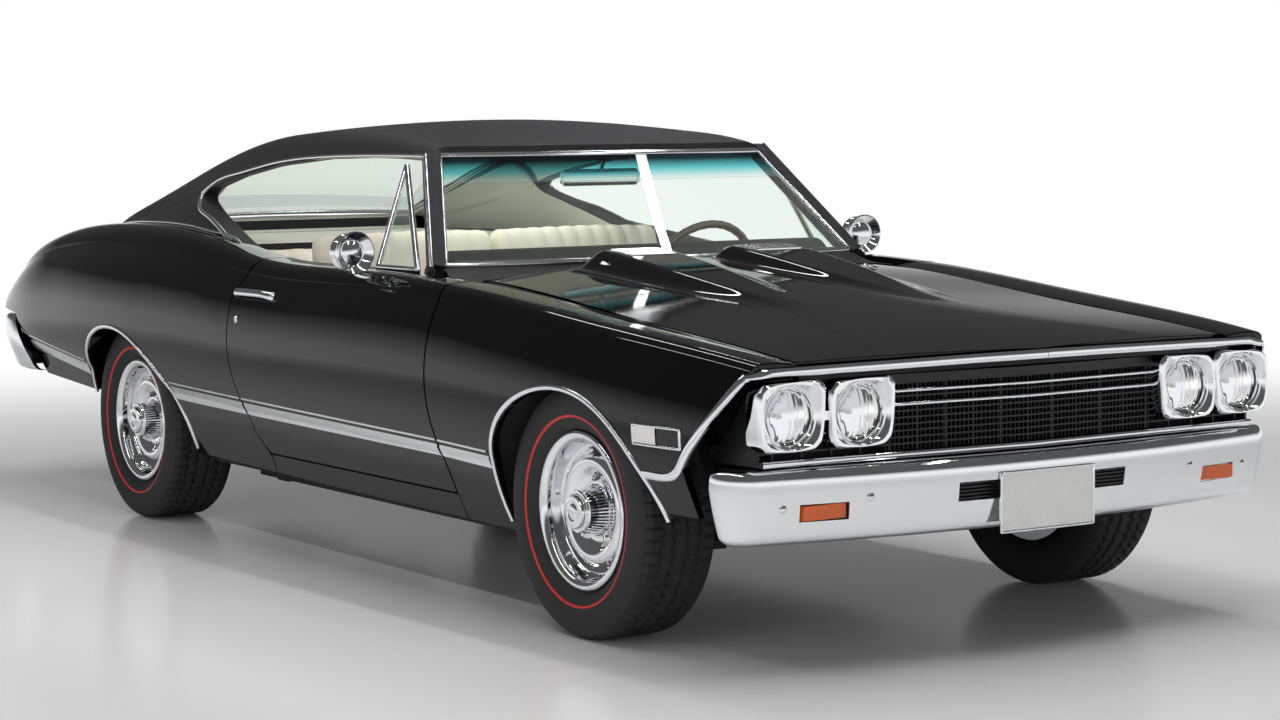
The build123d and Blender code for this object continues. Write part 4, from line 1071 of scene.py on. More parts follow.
def hood_top(x, y):
    w = np.abs(y)
    edge, crease_w, crease_z, crown = (
        along_hood(v, x) for v in (HOOD_EDGE_Z, HOOD_CREASE_W, HOOD_CREASE_Z, HOOD_CROWN_Z)
    )
    plateau = crown - (crown - crease_z) * (w / crease_w) ** 2
    slope = crease_z + (edge - crease_z) * (w - crease_w) / (HOOD_HALF - crease_w)
    z = np.where(w <= crease_w, plateau, slope)
    t = np.clip(x, BULGE_X[0], BULGE_X[-1])
    half, high = (curve_weights(BULGE_X, t) @ np.array(v, float) for v in (BULGE_HALF, BULGE_HIGH))
    room = half.reshape(np.shape(x)) - np.abs(w - BULGE_W)
    lift = (high.reshape(np.shape(x)) + BULGE_LIFT) * eased(room / BULGE_FLANK)
    rise = lift - BULGE_SINK + np.clip(room, None, 0)
    rise = rise - BULGE_DROP * eased((BULGE_END - x) / BULGE_DROP_LENGTH)
    rise = rise - np.clip(x - BULGE_X[-1], 0, None) * BULGE_FADE
    bulge = np.interp(x, HOOD_X, HOOD_CROWN_Z) + rise
    near = np.clip(1 - np.abs(z - bulge) / BULGE_SOFT, 0, 1)
    return np.maximum(z, bulge) + BULGE_SOFT / 4 * near**2


print("hood height at a bulge:", round(float(hood_top(np.array([1000.0]), np.array([BULGE_W]))[0]), 1))

# %% [markdown]
# ## Hood skin
# The crease of the plateau is a crisp line on the real hood. One grid over everything would smear
# it, and marking sharp edges needs a row of points exactly there. So each side of a crease is a
# grid of its own, which keeps the crease crisp and the rest smooth.

# %% Hood skin
HOOD_REAR, CREASE_GAP = 909, 0.5
HOOD_NOSE_W, HOOD_NOSE_X = [0, 400, 690], [2466, 2422, 2388]


def hood_block(y0, y1, columns, rows=140):
    """A strip of the hood between two lines y0 and y1, each a function of x."""
    u = np.linspace(0, 1, rows)[:, None]
    v = np.linspace(1, 0, columns)[None, :]
    x = 912 + 1500 * u + 0 * v
    for _ in range(5):
        y = y0(x) + (y1(x) - y0(x)) * v
        front = np.interp(np.abs(y), HOOD_NOSE_W, HOOD_NOSE_X)
        x = HOOD_REAR + (front - HOOD_REAR) * u
    points = np.stack([x, y, hood_top(x, y)], -1)
    normal = grid_normals(points)
    return points + normal * SKIN_LIFT, normal


def crease_w(x):
    return along_hood(HOOD_CREASE_W, x)


def fixed(value):
    return lambda x: np.full(np.shape(x), float(value))


hood_blocks = [
    hood_block(fixed(1 - HOOD_HALF), lambda x: -crease_w(x) - CREASE_GAP, 84),
    hood_block(lambda x: -crease_w(x) + CREASE_GAP, fixed(0), 64),
    hood_block(fixed(0), lambda x: crease_w(x) - CREASE_GAP, 64),
    hood_block(lambda x: crease_w(x) + CREASE_GAP, fixed(HOOD_HALF - 1), 84),
]
skin_piece("hood_skin", hood_blocks, "hood", "paint")
print("hood points:", sum(part[0].shape[0] * part[0].shape[1] for part in hood_blocks))

# %% [markdown]
# ## Bright inserts on the hood
# Each bulge carries a ribbed bright insert near the windscreen, a small casting. Single bars would
# have to be fitted to the curved top one by one. A patch of the hood's own surface is lifted in
# waves instead, and closed with a foot and walls.

# %% Hood inserts
INSERT_FROM, INSERT_LENGTH, INSERT_HALF, INSERT_RIBS = 966, 100, 78, 10
INSERT_HIGH, INSERT_WAVE, INSERT_FOOT = 3.6, 1.2, 0.5


def thick(outer, inner, faces):
    """Two matching layers of points and the walls between them, holes included."""
    count = len(outer)
    edges = {(a, b) for face in faces for a, b in zip(face, face[1:] + face[:1])}
    walls = [[b, a, a + count, b + count] for a, b in edges if (b, a) not in edges]
    back = [[i + count for i in reversed(face)] for face in faces]
    return np.concatenate([outer, inner]), faces + back + sorted(walls)


def bulge_insert(side):
    along = np.linspace(INSERT_FROM, INSERT_FROM + INSERT_LENGTH, 61)
    across = side * np.linspace(BULGE_W + INSERT_HALF, BULGE_W - INSERT_HALF, 9)
    x, y = np.meshgrid(along, across, indexing="ij")
    z = hood_top(x, y)
    phase = (x - INSERT_FROM) / INSERT_LENGTH * INSERT_RIBS * 2 * math.pi
    ribs = INSERT_HIGH + INSERT_WAVE * np.cos(phase)
    top, foot = np.stack([x, y, z + ribs], -1), np.stack([x, y, z + INSERT_FOOT], -1)
    return thick(top.reshape(-1, 3), foot.reshape(-1, 3), grid_faces(*x.shape))


add_mesh("hood_inserts", [bulge_insert(-1), bulge_insert(1)], "hood", "bright_trim", sharp=40)
print("hood inserts: 2 with", INSERT_RIBS, "ribs")

# %% [markdown]
# ## Trunk lid
# The lid is gently crowned and falls toward the tail. A parabola across four stations gives that
# crown. A loft in the model has the same shape; the skin only makes its gloss even.

# %% Trunk lid
LID_X = [-2495, -2340, -2065, -1838]
LID_W, LID_Z, LID_RISE = [590, 606, 639, 666], [772, 850, 924, 962], [16, 20, 24, 26]
LID_FROM, LID_TO = -2473, -1843


def lid_block():
    x = np.linspace(LID_FROM, LID_TO, 70)[:, None]
    w, z, rise = (curve_weights(LID_X, x) @ np.array(v, float) for v in (LID_W, LID_Z, LID_RISE))
    v = np.linspace(1, -1, 60)[None, :]
    points = np.stack([x + 0 * v, (w[:, None] - 1) * v, z[:, None] + rise[:, None] * (1 - v**2)], -1)
    normal = grid_normals(points)
    return points + normal * SKIN_LIFT, normal


skin_piece("trunk_lid_skin", [lid_block()], "trunk_lid", "paint")
print("lid skin:", LID_TO - LID_FROM, "mm long")

# %% [markdown]
# ## Tools for trim
# Bright trim is rolled strip: one small section, bent along the body. Blender can bevel a curve
# with such a section, but the section then twists as it likes. Here the profile is carried along
# points of the body together with the surface's own direction, so the strip always lies flat.

# %% Tools for trim
def bead(width, height, foot=4.0, count=9):
    """A half-round profile: across, up."""
    turn = np.linspace(math.pi, 0, count)
    arc = np.stack([np.cos(turn) * width / 2, np.sin(turn) ** 0.7 * height], 1)
    return np.concatenate([[(-width / 2, -foot)], arc, [(width / 2, -foot)]])


def swept(path, lift, profile, closed=False):
    """A profile carried along a path; lift is the up direction at each point."""
    path = np.asarray(path, float)
    lift = np.broadcast_to(np.asarray(lift, float), path.shape)
    if closed:
        run = np.roll(path, -1, 0) - np.roll(path, 1, 0)
    else:
        run = np.gradient(path, axis=0)
    across = unit(np.cross(run, lift))
    up = unit(np.cross(across, run))
    profile = np.asarray(profile, float)
    points = path[:, None] + across[:, None] * profile[None, :, :1] + up[:, None] * profile[None, :, 1:]
    n, m = points.shape[:2]
    faces = strip_faces(n, m, closed)
    if not closed:
        index = np.arange(n * m).reshape(n, m)
        faces += [index[0].tolist(), index[-1][::-1].tolist()]
    return points.reshape(-1, 3), faces


def on_side(points, lift=SKIN_LIFT):
    """Places (x, z) on the right-hand body side: points and outward directions."""
    x, z = np.asarray(points, float).T
    return side_block(x, side_where(x, z), lift)


print("points of a bead:", len(bead(15, 6)))

# %% [markdown]
# ## Lips and liners of the wheel openings
# A rounded bright lip runs round each opening. It follows the ellipse a little outside the edge,
# from the rear foot over the top to the front foot. Behind each front lip a dark liner closes the
# opening toward the engine bay; a full tub would hide in the dark, so a curved sheet is enough.

# %% Lips and liners
LIP, LIP_OUT = bead(15, 6), 6
LINER_OUT, LINER_UP, LINER_IN, LINER_TURN = 14, 46, 688, (-1.45, 1.3)
# Columns: axle, height of the rear foot, height of the front foot
LIP_FEET = ((FRONT_AXLE, 262, 352), (REAR_AXLE, 402, 272))


def arch_lip(axle, back_z, front_z):
    half, rise = ARCH_HALF + LIP_OUT, ARCH_RISE + LIP_OUT
    ends = [-math.acos((back_z - ARCH_Z) / rise), math.acos((front_z - ARCH_Z) / rise)]
    turn = np.linspace(ends[0], ends[1], 90)
    x = axle + ARCH_AHEAD + half * np.sin(turn)
    path, lift = on_side(np.stack([x, ARCH_Z + rise * np.cos(turn)], 1))
    return swept(path, lift, LIP)


def arch_liner():
    turn = np.linspace(*LINER_TURN, 48)
    x = FRONT_AXLE + ARCH_AHEAD + (ARCH_HALF + LINER_OUT) * np.sin(turn)
    path = on_side(np.stack([x, ARCH_Z + (ARCH_RISE + LINER_UP) * np.cos(turn)], 1))[0]
    reach = np.linspace(0, 1, 6)[None, :, None]
    inner = path * (1, 0, 1) - (0, LINER_IN, 0)
    outer = path + (0, 12, 0)
    return outer[:, None] + (inner - outer)[:, None] * reach


def grid_part(points):
    return points.reshape(-1, 3), grid_faces(*points.shape[:2])


lips = [arch_lip(*row) for row in LIP_FEET]
mesh_pair("arch_trim_{}", lips, "body", "chrome")
mesh_pair("arch_liner_{}", [grid_part(arch_liner())], "body", "underbody")
print("lips:", len(lips) * len(SIDES))

# %% [markdown]
# ## Bright bands
# A broad bright band runs low along the car with a thin line above it. As one long strip it would
# tear when a door opens. So it is cut at every shut line, and the door takes its own piece along.
# Each piece is a grid on the body side that swells a little between its edges.

# %% Bright bands
BAND_X = [-2100, -2003, -1515, -686, 986, 1299]
BAND_LOW = [518, 510, 459, 434, 417, 406]
BAND_HIGH = [558, 550, 498, 476, 450, 441]
LINE_LOW, LINE_HIGH = ([z + step for z in BAND_HIGH] for step in (10, 16))
BAND_STEP, BAND_SWELL, LINE_SWELL = 22, 3.5, 2.5
# Columns: name, from x, to x, body
BANDS = [
    ("fender", 1012, 1276, "body"),
    ("door", -231, 999, "door_{}"),
    ("quarter", -792, -245, "body"),
    ("tail", -2088, -1548, "body"),
]


def band_block(x0, x1, low, high, lift):
    x = np.linspace(x0, x1, max(8, int(abs(x1 - x0) / BAND_STEP)))[:, None]
    v = np.linspace(0, 1, 7)[None, :]
    z0, z1 = (np.interp(x, BAND_X, row) for row in (low, high))
    z = z1 + (z0 - z1) * v
    points, normal = side_block(x + 0 * v, side_where(x + 0 * v, z), SKIN_LIFT)
    return points + normal * (lift * (1 - (2 * v - 1) ** 4))[..., None], normal


for name, x0, x1, body in BANDS:
    band = [band_block(x0, x1, BAND_LOW, BAND_HIGH, BAND_SWELL)]
    band.append(band_block(x0, x1, LINE_LOW, LINE_HIGH, LINE_SWELL))
    skin_pair(f"band_{name}_{{}}", band, body, "bright_trim", rim=5)
print("bands:", len(BANDS) * len(SIDES))

# %% [markdown]
# ## The side of the roof
# Trim on the roof has to lie on the roof. The roof's side is a straight wall between its base and
# the drip rail, so a point on it follows from its length and height alone, with no need to look it
# up on the model. The rows are the same stations from which the model's roof is made.

# %% Side of the roof
ROOF_X = [-1832, -1540, -1160, -800, -460, -160, 160, 520]
ROOF_BASE = [(690, 925), (745, 955), (775, 965), (785, 960), (785, 930), (780, 905), (766, 900), (736, 900)]
ROOF_DRIP = [(632, 970), (648, 1020), (654, 1092), (652, 1172), (648, 1218), (640, 1240)]
ROOF_DRIP += [(624, 1244), (588, 1222)]


def roof_wall(points, lift=0.0):
    """Places (x, z) on the right-hand side of the roof: points and outward directions."""
    x, z = np.asarray(points, float).T
    weights = curve_weights(ROOF_X, x)
    base, drip = weights @ np.array(ROOF_BASE, float), weights @ np.array(ROOF_DRIP, float)
    share = (z - base[:, 1]) / (drip[:, 1] - base[:, 1])
    w = base[:, 0] + (drip[:, 0] - base[:, 0]) * np.clip(share, -0.2, 1.05)
    out = unit(np.stack([0 * x, -(drip[:, 1] - base[:, 1]), base[:, 0] - drip[:, 0]], 1))
    return np.stack([x, -w, z], 1) + out * lift, out


print("drip rail at mid-roof:", ROOF_DRIP[4])

# %% [markdown]
# ## Frames of the windscreen and the rear window
# Both panes are bent, so their edges are arcs in plan or in height, and the frame is one bright
# strip swept round them. An outline could be taken from the model's edges. The four corner values
# are used instead, because lines at any share of the pane's height are needed again below.

# %% Pane frames
# Columns: x at the corner, half-width, z, x in the middle
SCREEN_LOW, SCREEN_TOP = (747, 722, 922, 842), (453, 574, 1238, 509)
# Columns: x, half-width, z at the corner, z in the middle
BACK_LOW, BACK_TOP = (-1790, 538.8, 992, 1002), (-982, 503.8, 1222, 1254)
SCREEN_OUT, BACK_OUT = (1, 0, 0.9), (-0.3, 0, 1)


def screen_edge(share, count=41):
    """A line across the windscreen: share 0 is its lower edge, 1 its upper edge."""
    x, w, z, x_mid = (a + (b - a) * share for a, b in zip(SCREEN_LOW, SCREEN_TOP))
    line = arc_points((x, -w), (x_mid, 0), (x, w), count)
    return np.stack([line[:, 0], line[:, 1], np.full(count, z)], 1)


def back_edge(share, count=31):
    x, w, z, z_mid = (a + (b - a) * share for a, b in zip(BACK_LOW, BACK_TOP))
    line = arc_points((-w, z), (0, z_mid), (w, z), count)
    return np.stack([np.full(count, x), line[:, 0], line[:, 1]], 1)


def framed(edges, lift, profile):
    low, top = edges
    sides = [low[-1] + (top[-1] - low[-1]) * t for t in np.linspace(0, 1, 20)[1:-1]]
    back = [top[0] + (low[0] - top[0]) * t for t in np.linspace(0, 1, 20)[1:-1]]
    path = np.concatenate([low, sides, top[::-1], back])
    return swept(path, np.broadcast_to(unit(lift), path.shape), profile, closed=True)


screen_trim = framed((screen_edge(0.012), screen_edge(0.985)), SCREEN_OUT, bead(20, 8))
back_trim = framed((back_edge(0.01), back_edge(0.99)), BACK_OUT, bead(22, 8))
add_mesh("screen_surrounds", [screen_trim, back_trim], "body", "bright_trim")
print("frame faces:", len(screen_trim[1]) + len(back_trim[1]))

# %% [markdown]
# ## Tint band, painted shade and cowl
# The top of the windscreen is covered by a blue tint band whose top turns near black, as painted
# shade for the dark header behind the glass, and a black panel lies between its foot and the hood.
# The band could be painted into the pane's own glass by height. A thin sheet just outside was
# chosen, because then the pane keeps one plain finish. The cowl hangs between two lines and sags a
# little in the middle.

# %% Tint band, painted shade and cowl
BAND_FROM, BAND_TO, BAND_ROWS, PANE_STEPS = 0.73, 0.985, 12, 41
COWL_X, COWL_W, COWL_Z, COWL_SAG = 902.0, 772, 884.0, 12.0


def band_layers():
    lines = np.array([screen_edge(share) for share in np.linspace(BAND_FROM, BAND_TO, BAND_ROWS)])
    return [(lines + unit(SCREEN_OUT) * lift).reshape(-1, 3) for lift in (1.2, 2.2)]


def cowl_panel():
    top = screen_edge(-0.01)
    across = np.linspace(-COWL_W, COWL_W, PANE_STEPS)
    foot = np.column_stack([np.full(PANE_STEPS, COWL_X), across, np.full(PANE_STEPS, COWL_Z)])
    t = np.linspace(0, 1, 9)[:, None, None]
    sag = np.array((0, 0, -COWL_SAG)) * (t * (1 - t) * 4)
    return top * (1 - t) + foot * t + sag


near, far = band_layers()
band = thick(far, near, grid_faces(BAND_ROWS, PANE_STEPS))
# The tint band sheet, with painted shade at its top for the dark header behind the glass.
add_mesh("screen_tint_and_shade", [band], "body", "band_glass")
add_mesh("cowl_panel", [grid_part(cowl_panel())], "body", "satin_black")
print("tint band faces:", len(band[1]))

# %% [markdown]
# ## Pillar caps
# The windscreen pillar runs into the roof under the vinyl without an edge. In the model its top is
# a square stub. A fillet there would fail on the many faces that meet. So a cap of soft rings
# leads from the pillar over into the roof, each ring a rounded square with its own size and lean.

# %% Pillar caps
# Columns: centre, half-width, half-depth, lean
CAP_RINGS = [
    ((466, -605, 1202), 21, 26, (0.73, 0, 0.68)),
    ((445, -594, 1225), 21, 26, (0.73, 0, 0.68)),
    ((426, -588, 1238), 20, 20, (0.5, 0, 0.86)),
    ((380, -590, 1242), 17, 11, (0.1, 0, 1)),
    ((320, -594, 1242), 13, 10, (-0.1, 0, 1)),
    ((240, -600, 1240), 8, 6, (-0.1, 0, 1)),
]


def pillar_cap():
    turn = np.linspace(0, 2 * math.pi, 33)
    round_y, round_n = (np.sign(f(turn)) * np.abs(f(turn)) ** 0.5 for f in (np.cos, np.sin))
    rings = []
    for spot, wide, deep, lean in CAP_RINGS:
        across, up = np.outer(round_y * wide, (0, 1, 0)), np.outer(round_n * deep, unit(lean))
        rings.append(np.array(spot) + across + up)
    return np.array(rings)


mesh_pair("pillar_cap_{}", [grid_part(pillar_cap())], "body", "vinyl_roof")
print("pillar caps:", len(CAP_RINGS), "rings each")

# %% [markdown]
# ## Drip rails and belt trims
# Bright strips run along the drip rail, round the window's pointed rear corner, along the lower
# edge of the vinyl and up the pillar. All lie on the roof's wall, so they are swept along lines of
# length and height. The belt trim under the side window belongs to the door and rides it.

# %% Drip rails and belt trims
WINDOW_TOP = [(436, 1230), (300, 1232), (160, 1232), (-160, 1226), (-500, 1202), (-760, 1166)]
WINDOW_TOP += [(-950, 1126), (-994, 1100)]
WINDOW_LOW = [(-994, 1100), (-966, 1074), (-822, 1031), (-579, 960), (-420, 914)]
VINYL_LINE = [(-440, 918), (-527, 962), (-690, 980), (-843, 992), (-1160, 1000), (-1540, 990), (-1740, 976)]
PILLAR_LINE, PILLAR_LIFT = [(736, -751, 915), (436, -602, 1231)], 16
BELT_LINE, BELT_S, BELT_STEPS = [(712, -790, 909), (-96, -790, 922)], 0.62, 40


def even_path(points, count):
    """Evenly spaced points along straight lines between the given ones."""
    points = np.asarray(points, float)
    run = np.concatenate([[0], np.cumsum(np.linalg.norm(np.diff(points, axis=0), axis=1))])
    spots = np.linspace(0, run[-1], count)
    return np.stack([np.interp(spots, run, points[:, k]) for k in range(points.shape[1])], 1)


def roof_strip(line, count, lift, width, height):
    path, out = roof_wall(smooth_path(line, count), lift)
    return swept(path, out, bead(width, height))


rails = [roof_strip(WINDOW_TOP, 70, 3, 13, 8), roof_strip(WINDOW_LOW, 40, 2, 15, 6)]
rails.append(roof_strip(VINYL_LINE, 60, 2, 9, 5))
pillar_out = unit((0.55, -0.75, 0.35))
rails.append(swept(even_path(PILLAR_LINE, 24) + pillar_out * PILLAR_LIFT, pillar_out, bead(14, 7)))
mesh_pair("drip_rail_{}", rails, "body", "bright_trim")
belt = even_path(BELT_LINE, BELT_STEPS)
belt[:, 2] = side_at(belt[:, 0], np.full(BELT_STEPS, BELT_S))[1] + 1
mesh_pair("belt_trim_{}", [swept(belt, (0, 0, 1), bead(14, 6))], "door_{}", "bright_trim")
print("strips on each side of the roof:", len(rails))

# %% [markdown]
# ## Headlamp frames
# Four bright frames hold the round lamps, each flared at its upper inner corner. They could be
# lofted from a circle to a square. A ring of points is blended from the round lamp out to an
# outline whose corners are cut again and again until they are soft, so the face rolls evenly.

# %% Headlamp frames
HEADLAMPS = [(2424, 532), (2414, 733)]
LAMP_Z, LAMP_RING = 629.0, 74
FRAME_CORNERS, FRAME_STEPS = [(94, -82), (-92, -82), (-108, 90), (94, 82)], 120
# Columns: share from the ring to the outline, distance in front of the lamp
FRAME_ROWS = ((0, 0), (0, 10), (0.2, 16), (0.5, 24), (0.8, 24), (0.95, 19), (1, 10), (1, -34))


def soft_ring(outline, count, rounds=3, keep=0.78):
    ring = np.asarray(outline, float)
    for _ in range(rounds):
        after = np.roll(ring, -1, 0)
        ring = np.stack([ring * keep + after * (1 - keep), ring * (1 - keep) + after * keep], 1)
        ring = ring.reshape(-1, ring.shape[-1])
    return even_path(np.concatenate([ring, ring[:1]]), count + 1)[:-1]


def lamp_frame(x, w, sign):
    y = sign * w
    rim = soft_ring(FRAME_CORNERS, FRAME_STEPS, rounds=4, keep=0.88)
    ring = unit(rim) * LAMP_RING
    rows = []
    for share, out in FRAME_ROWS:
        line = ring + (rim - ring) * share
        depth = np.full(FRAME_STEPS, x + out)
        rows.append(np.column_stack([depth, y + sign * line[:, 0], LAMP_Z + line[:, 1]]))
    points = np.array(rows).swapaxes(0, 1)
    return points.reshape(-1, 3), strip_faces(FRAME_STEPS, len(rows))


print("frame points:", len(lamp_frame(*HEADLAMPS[0], 1)[0]))

# %% [markdown]
# ## Headlamps
# A sealed lamp is a polished bowl with a bulb behind a fluted glass. A bright disc would do from
# afar. Real bowl, bulb and glass were chosen, because the lamp's depth shows even when it is off.
# The glass is a turned cap of a ball, and its flutes are waves across it.

# %% Headlamps
GLASS_R, GLASS_BALL, GLASS_OUT = 69, 131, 18
BOWL_DEEP, FLUTE_WIDTH, FLUTE_R, FLUTE_HIGH = 46, 5.2, 62, 0.9
LAMP_RIM = [(69, 3), (69.5, 9), (73, 13), (78, 14), (82, 10), (84, 4), (84, 0)]
BULB = [(0.2, -8), (5, -10), (8, -15), (9, -22), (7, -30), (6, -46)]


def flutes(angle, radius, out):
    side = radius * np.cos(angle)
    return radius, out + FLUTE_HIGH * np.abs(np.sin(side / FLUTE_WIDTH)) * (radius < FLUTE_R)


def lamp_parts(x, y):
    spot = dict(origin=(x, y, LAMP_Z), axis=(1, 0, 0), start=(0, 1, 0))
    steps = np.linspace(0.2, GLASS_R, 26)
    glass = [(r, GLASS_OUT - GLASS_BALL + math.sqrt(GLASS_BALL**2 - r * r)) for r in steps]
    glass += [(70, 2), (70, -3), (66, -3)]
    bowl = [(r, -BOWL_DEEP + 44 * (r / GLASS_R) ** 2) for r in np.linspace(0.2, GLASS_R, 18)]
    pane = lathe(glass, 110, shift=flutes, **spot)
    return pane, lathe(bowl, 64, **spot), lathe(LAMP_RIM, 80, **spot), lathe(BULB, 24, **spot)


glasses, bowls, rims, bulbs = [], [], [], []
for x, w in HEADLAMPS:
    for sign in (-1, 1):
        rims.append(lamp_frame(x, w, sign))
        for store, part in zip((glasses, bowls, rims, bulbs), lamp_parts(x, sign * w)):
            store.append(part)
lens = add_mesh("headlamp_glass", glasses, "body", "lamp_glass")
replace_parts(lens, "headlamp_lenses")
add_mesh("headlamp_bowls", bowls, "body", "reflector")
frames = add_mesh("headlamp_frames", rims, "body", "chrome")
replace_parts(frames, "headlamp_bezels")
add_mesh("headlamp_bulbs", bulbs, "body", "white_lens")
print("headlamps:", len(glasses))

# %% [markdown]
# ## Strips of the nose
# Two thin bars cross the grille and a broader one closes it below, all bent to the nose's shallow
# vee. The header strip runs along the hood's front edge, turns the fender's corner and comes back
# to the wheel opening below the marker lamp. As two strips it would show a joint at the corner, so
# it is one sweep whose direction turns with it.

# %% Strips of the nose
NOSE_SLOPE = 0.055
# Columns: foremost x, half-width, height
BAR, BAR_LEVELS, FOOT_BAR = (2443, 438), (640, 673), (2446, 796, 517)
TAB_X, TAB_Y, TAB_Z = (2418, 2436), (624, 641), (618, 640)
BROW = [(2500, 0, 747), (2477, -200, 744.5), (2453, -400, 741), (2437, -560, 738.5), (2422, -692, 736)]
TURN = [(2419, -738, 736.5), (2415, -776, 736), (2408, -803, 733)]
TURN_OUT = [(0.95, -0.3, 0), (0.85, -0.5, 0.1), (0.6, -0.8, 0.1)]
CORNER = [(2394, 726), (2366, 688), (2322, 633), (2262, 570), (2214, 520), (2176, 484), (2140, 471)]
CORNER += [(2080, 469), (2036, 468)]


def vee(front, w, z):
    back = front - NOSE_SLOPE * w
    return even_path([(back, -w, z), (front, 0, z), (back, w, z)], 41)


def header_trim():
    path, lift = on_side(smooth_path(CORNER, 60))
    front = even_path(BROW, 60)
    path = np.concatenate([front, TURN, path])
    lift = np.concatenate([np.tile((1.0, 0, 0), (60, 1)), unit(TURN_OUT), lift])
    return swept(path, lift, bead(22, 6))


def block(x0, x1, y0, y1, z0, z1):
    """A plain small box, for fins and tabs."""
    points = [(x, y, z) for x in (x0, x1) for y in (y0, y1) for z in (z0, z1)]
    faces = [(0, 1, 3, 2), (4, 6, 7, 5), (0, 4, 5, 1), (2, 3, 7, 6), (0, 2, 6, 4), (1, 5, 7, 3)]
    return points, faces


strips = [swept(vee(*BAR, z), (1, 0, 0), bead(9, 4)) for z in BAR_LEVELS]
strips.append(swept(vee(*FOOT_BAR), (1, 0, 0), bead(16, 5)))
strips += [block(*TAB_X, *(sign * y for y in TAB_Y), *TAB_Z) for sign in (-1, 1)]
add_mesh("nose_trim", strips, "body", "chrome")
mesh_pair("header_trim_{}", [header_trim()], "body", "chrome")
print("nose strips:", len(strips) + len(SIDES))

# %% [markdown]
# ## Grille fins
# The grille is a net of slats and thin upright fins. The slats are in the model. The fins could be
# an Array modifier on one bar, but the nose's vee moves each of them back and the lamps need room.
# So a loop sets them one by one.

# %% Grille fins
FIN_PITCH, FIN_X, FIN_DEEP, FIN_HALF, FIN_LOW, FIN_TOP = 13.0, 2429, 14, 1, 526, 690
fins = []
for y in np.arange(-794, 795, FIN_PITCH):
    clear = min(abs(abs(y) - w) for _, w in HEADLAMPS)
    if clear > 100 and not HEADLAMPS[0][1] < abs(y) < HEADLAMPS[1][1]:
        x = FIN_X - NOSE_SLOPE * abs(y)
        fins.append(block(x - FIN_DEEP, x, y - FIN_HALF, y + FIN_HALF, FIN_LOW, FIN_TOP))
add_mesh("grille_fins", fins, "body", "satin_black")
print("fins:", len(fins))

# %% [markdown]
# ## Number plate and bumper bolts
# The plate is a blank sheet in a bright bead, and domed bolts hold the bumper. They are small and
# simple: a flat box, a swept frame and a turned dome. Modelling them is quicker than finding a
# picture of them, and they catch the light.

# %% Number plate and bolts
PLATE_X, PLATE_HALF, PLATE_LOW, PLATE_TOP, PLATE_EDGE = 2505, 152, 312, 463, 2
BOLT = [(11, -6), (11, 1), (9, 4), (5, 6), (0.2, 6.6)]
BOLT_PLACES = ((520, 428, 2462), (748, 412, 2418))
plate = block(PLATE_X - 2, PLATE_X, -PLATE_HALF, PLATE_HALF, PLATE_LOW, PLATE_TOP)
add_mesh("number_plate", [plate], "body", "plate")
w, low, top = PLATE_HALF - PLATE_EDGE, PLATE_LOW + PLATE_EDGE, PLATE_TOP - PLATE_EDGE
edge = [(PLATE_X, y, z) for y, z in ((-w, low), (w, low), (w, top), (-w, top), (-w, low))]
bead_path = even_path(edge, 81)[:-1]
plate_bead = swept(bead_path, (1, 0, 0), bead(7, 3), closed=True)
add_mesh("plate_frame", [plate_bead], "body", "chrome")
bolts = []
for sign in (-1, 1):
    for y, z, x in BOLT_PLACES:
        bolts.append(lathe(BOLT, 28, (x, sign * y, z), (1, 0, 0.05), (0, 1, 0)))
add_mesh("bumper_bolts", bolts, "body", "chrome")
print("bolts:", len(bolts))

# %% [markdown]
# ## Bumpers
# A pressed bumper has no flat face. Its section rolls over a shelf on top, bulges, and tucks under
# at the bottom, and that section follows the plan from one wrapped end to the other. A bent box
# with rounded edges would look cast. The openings are faces left out of the grid, and a second,
# inner grid gives the metal its thickness.

# %% Bumpers
# Columns: z, distance behind the foremost line
FRONT_LEVELS = [(496, 64), (503, 46), (506, 28), (503, 13), (493, 4), (472, 0), (435, 3), (390, 10)]
FRONT_LEVELS += [(352, 18), (332, 25), (324, 34), (322, 50)]
REAR_LEVELS = [(634, 54), (640, 36), (640, 20), (632, 8), (612, 2), (570, 0), (520, 8), (476, 20)]
REAR_LEVELS += [(450, 30), (441, 42), (440, 58)]
BUMPER_X, BUMPER_DEEP, HOLES_FROM = 2503, 14, 2380
FRONT_CORNER, FRONT_HALF, REAR_CORNER, REAR_HALF = (2412, 816), 880, (2446, 784), 892
WRAP_BACK, WRAP_OUT, CORNER_PULL = 0.28, 0.72, 0.4
# Columns: from y, to y, from z, to z
FRONT_HOLES = [(131, 268, 396, 446), (573, 702, 378, 418)]
FRONT_END = table([(322, 2310), (450, 2300), (490, 2304), (506, 2316)])
REAR_END = table([(440, 2092), (560, 2178), (622, 2222), (640, 2232)])


def bumper_row(x_mid, corner, end):
    (xc, wc), (xe, we) = corner, end
    turn = (xc - WRAP_BACK * (xc - xe), wc + WRAP_OUT * (we - wc))
    wrap = arc_points((xe, -we), (turn[0], -turn[1]), (xc, -wc), 30)
    middle = arc_points((xc, -wc), (x_mid, 0), (xc, wc), 150)
    return np.concatenate([wrap[:-1], middle, (wrap[:-1] * (1, -1))[::-1]])


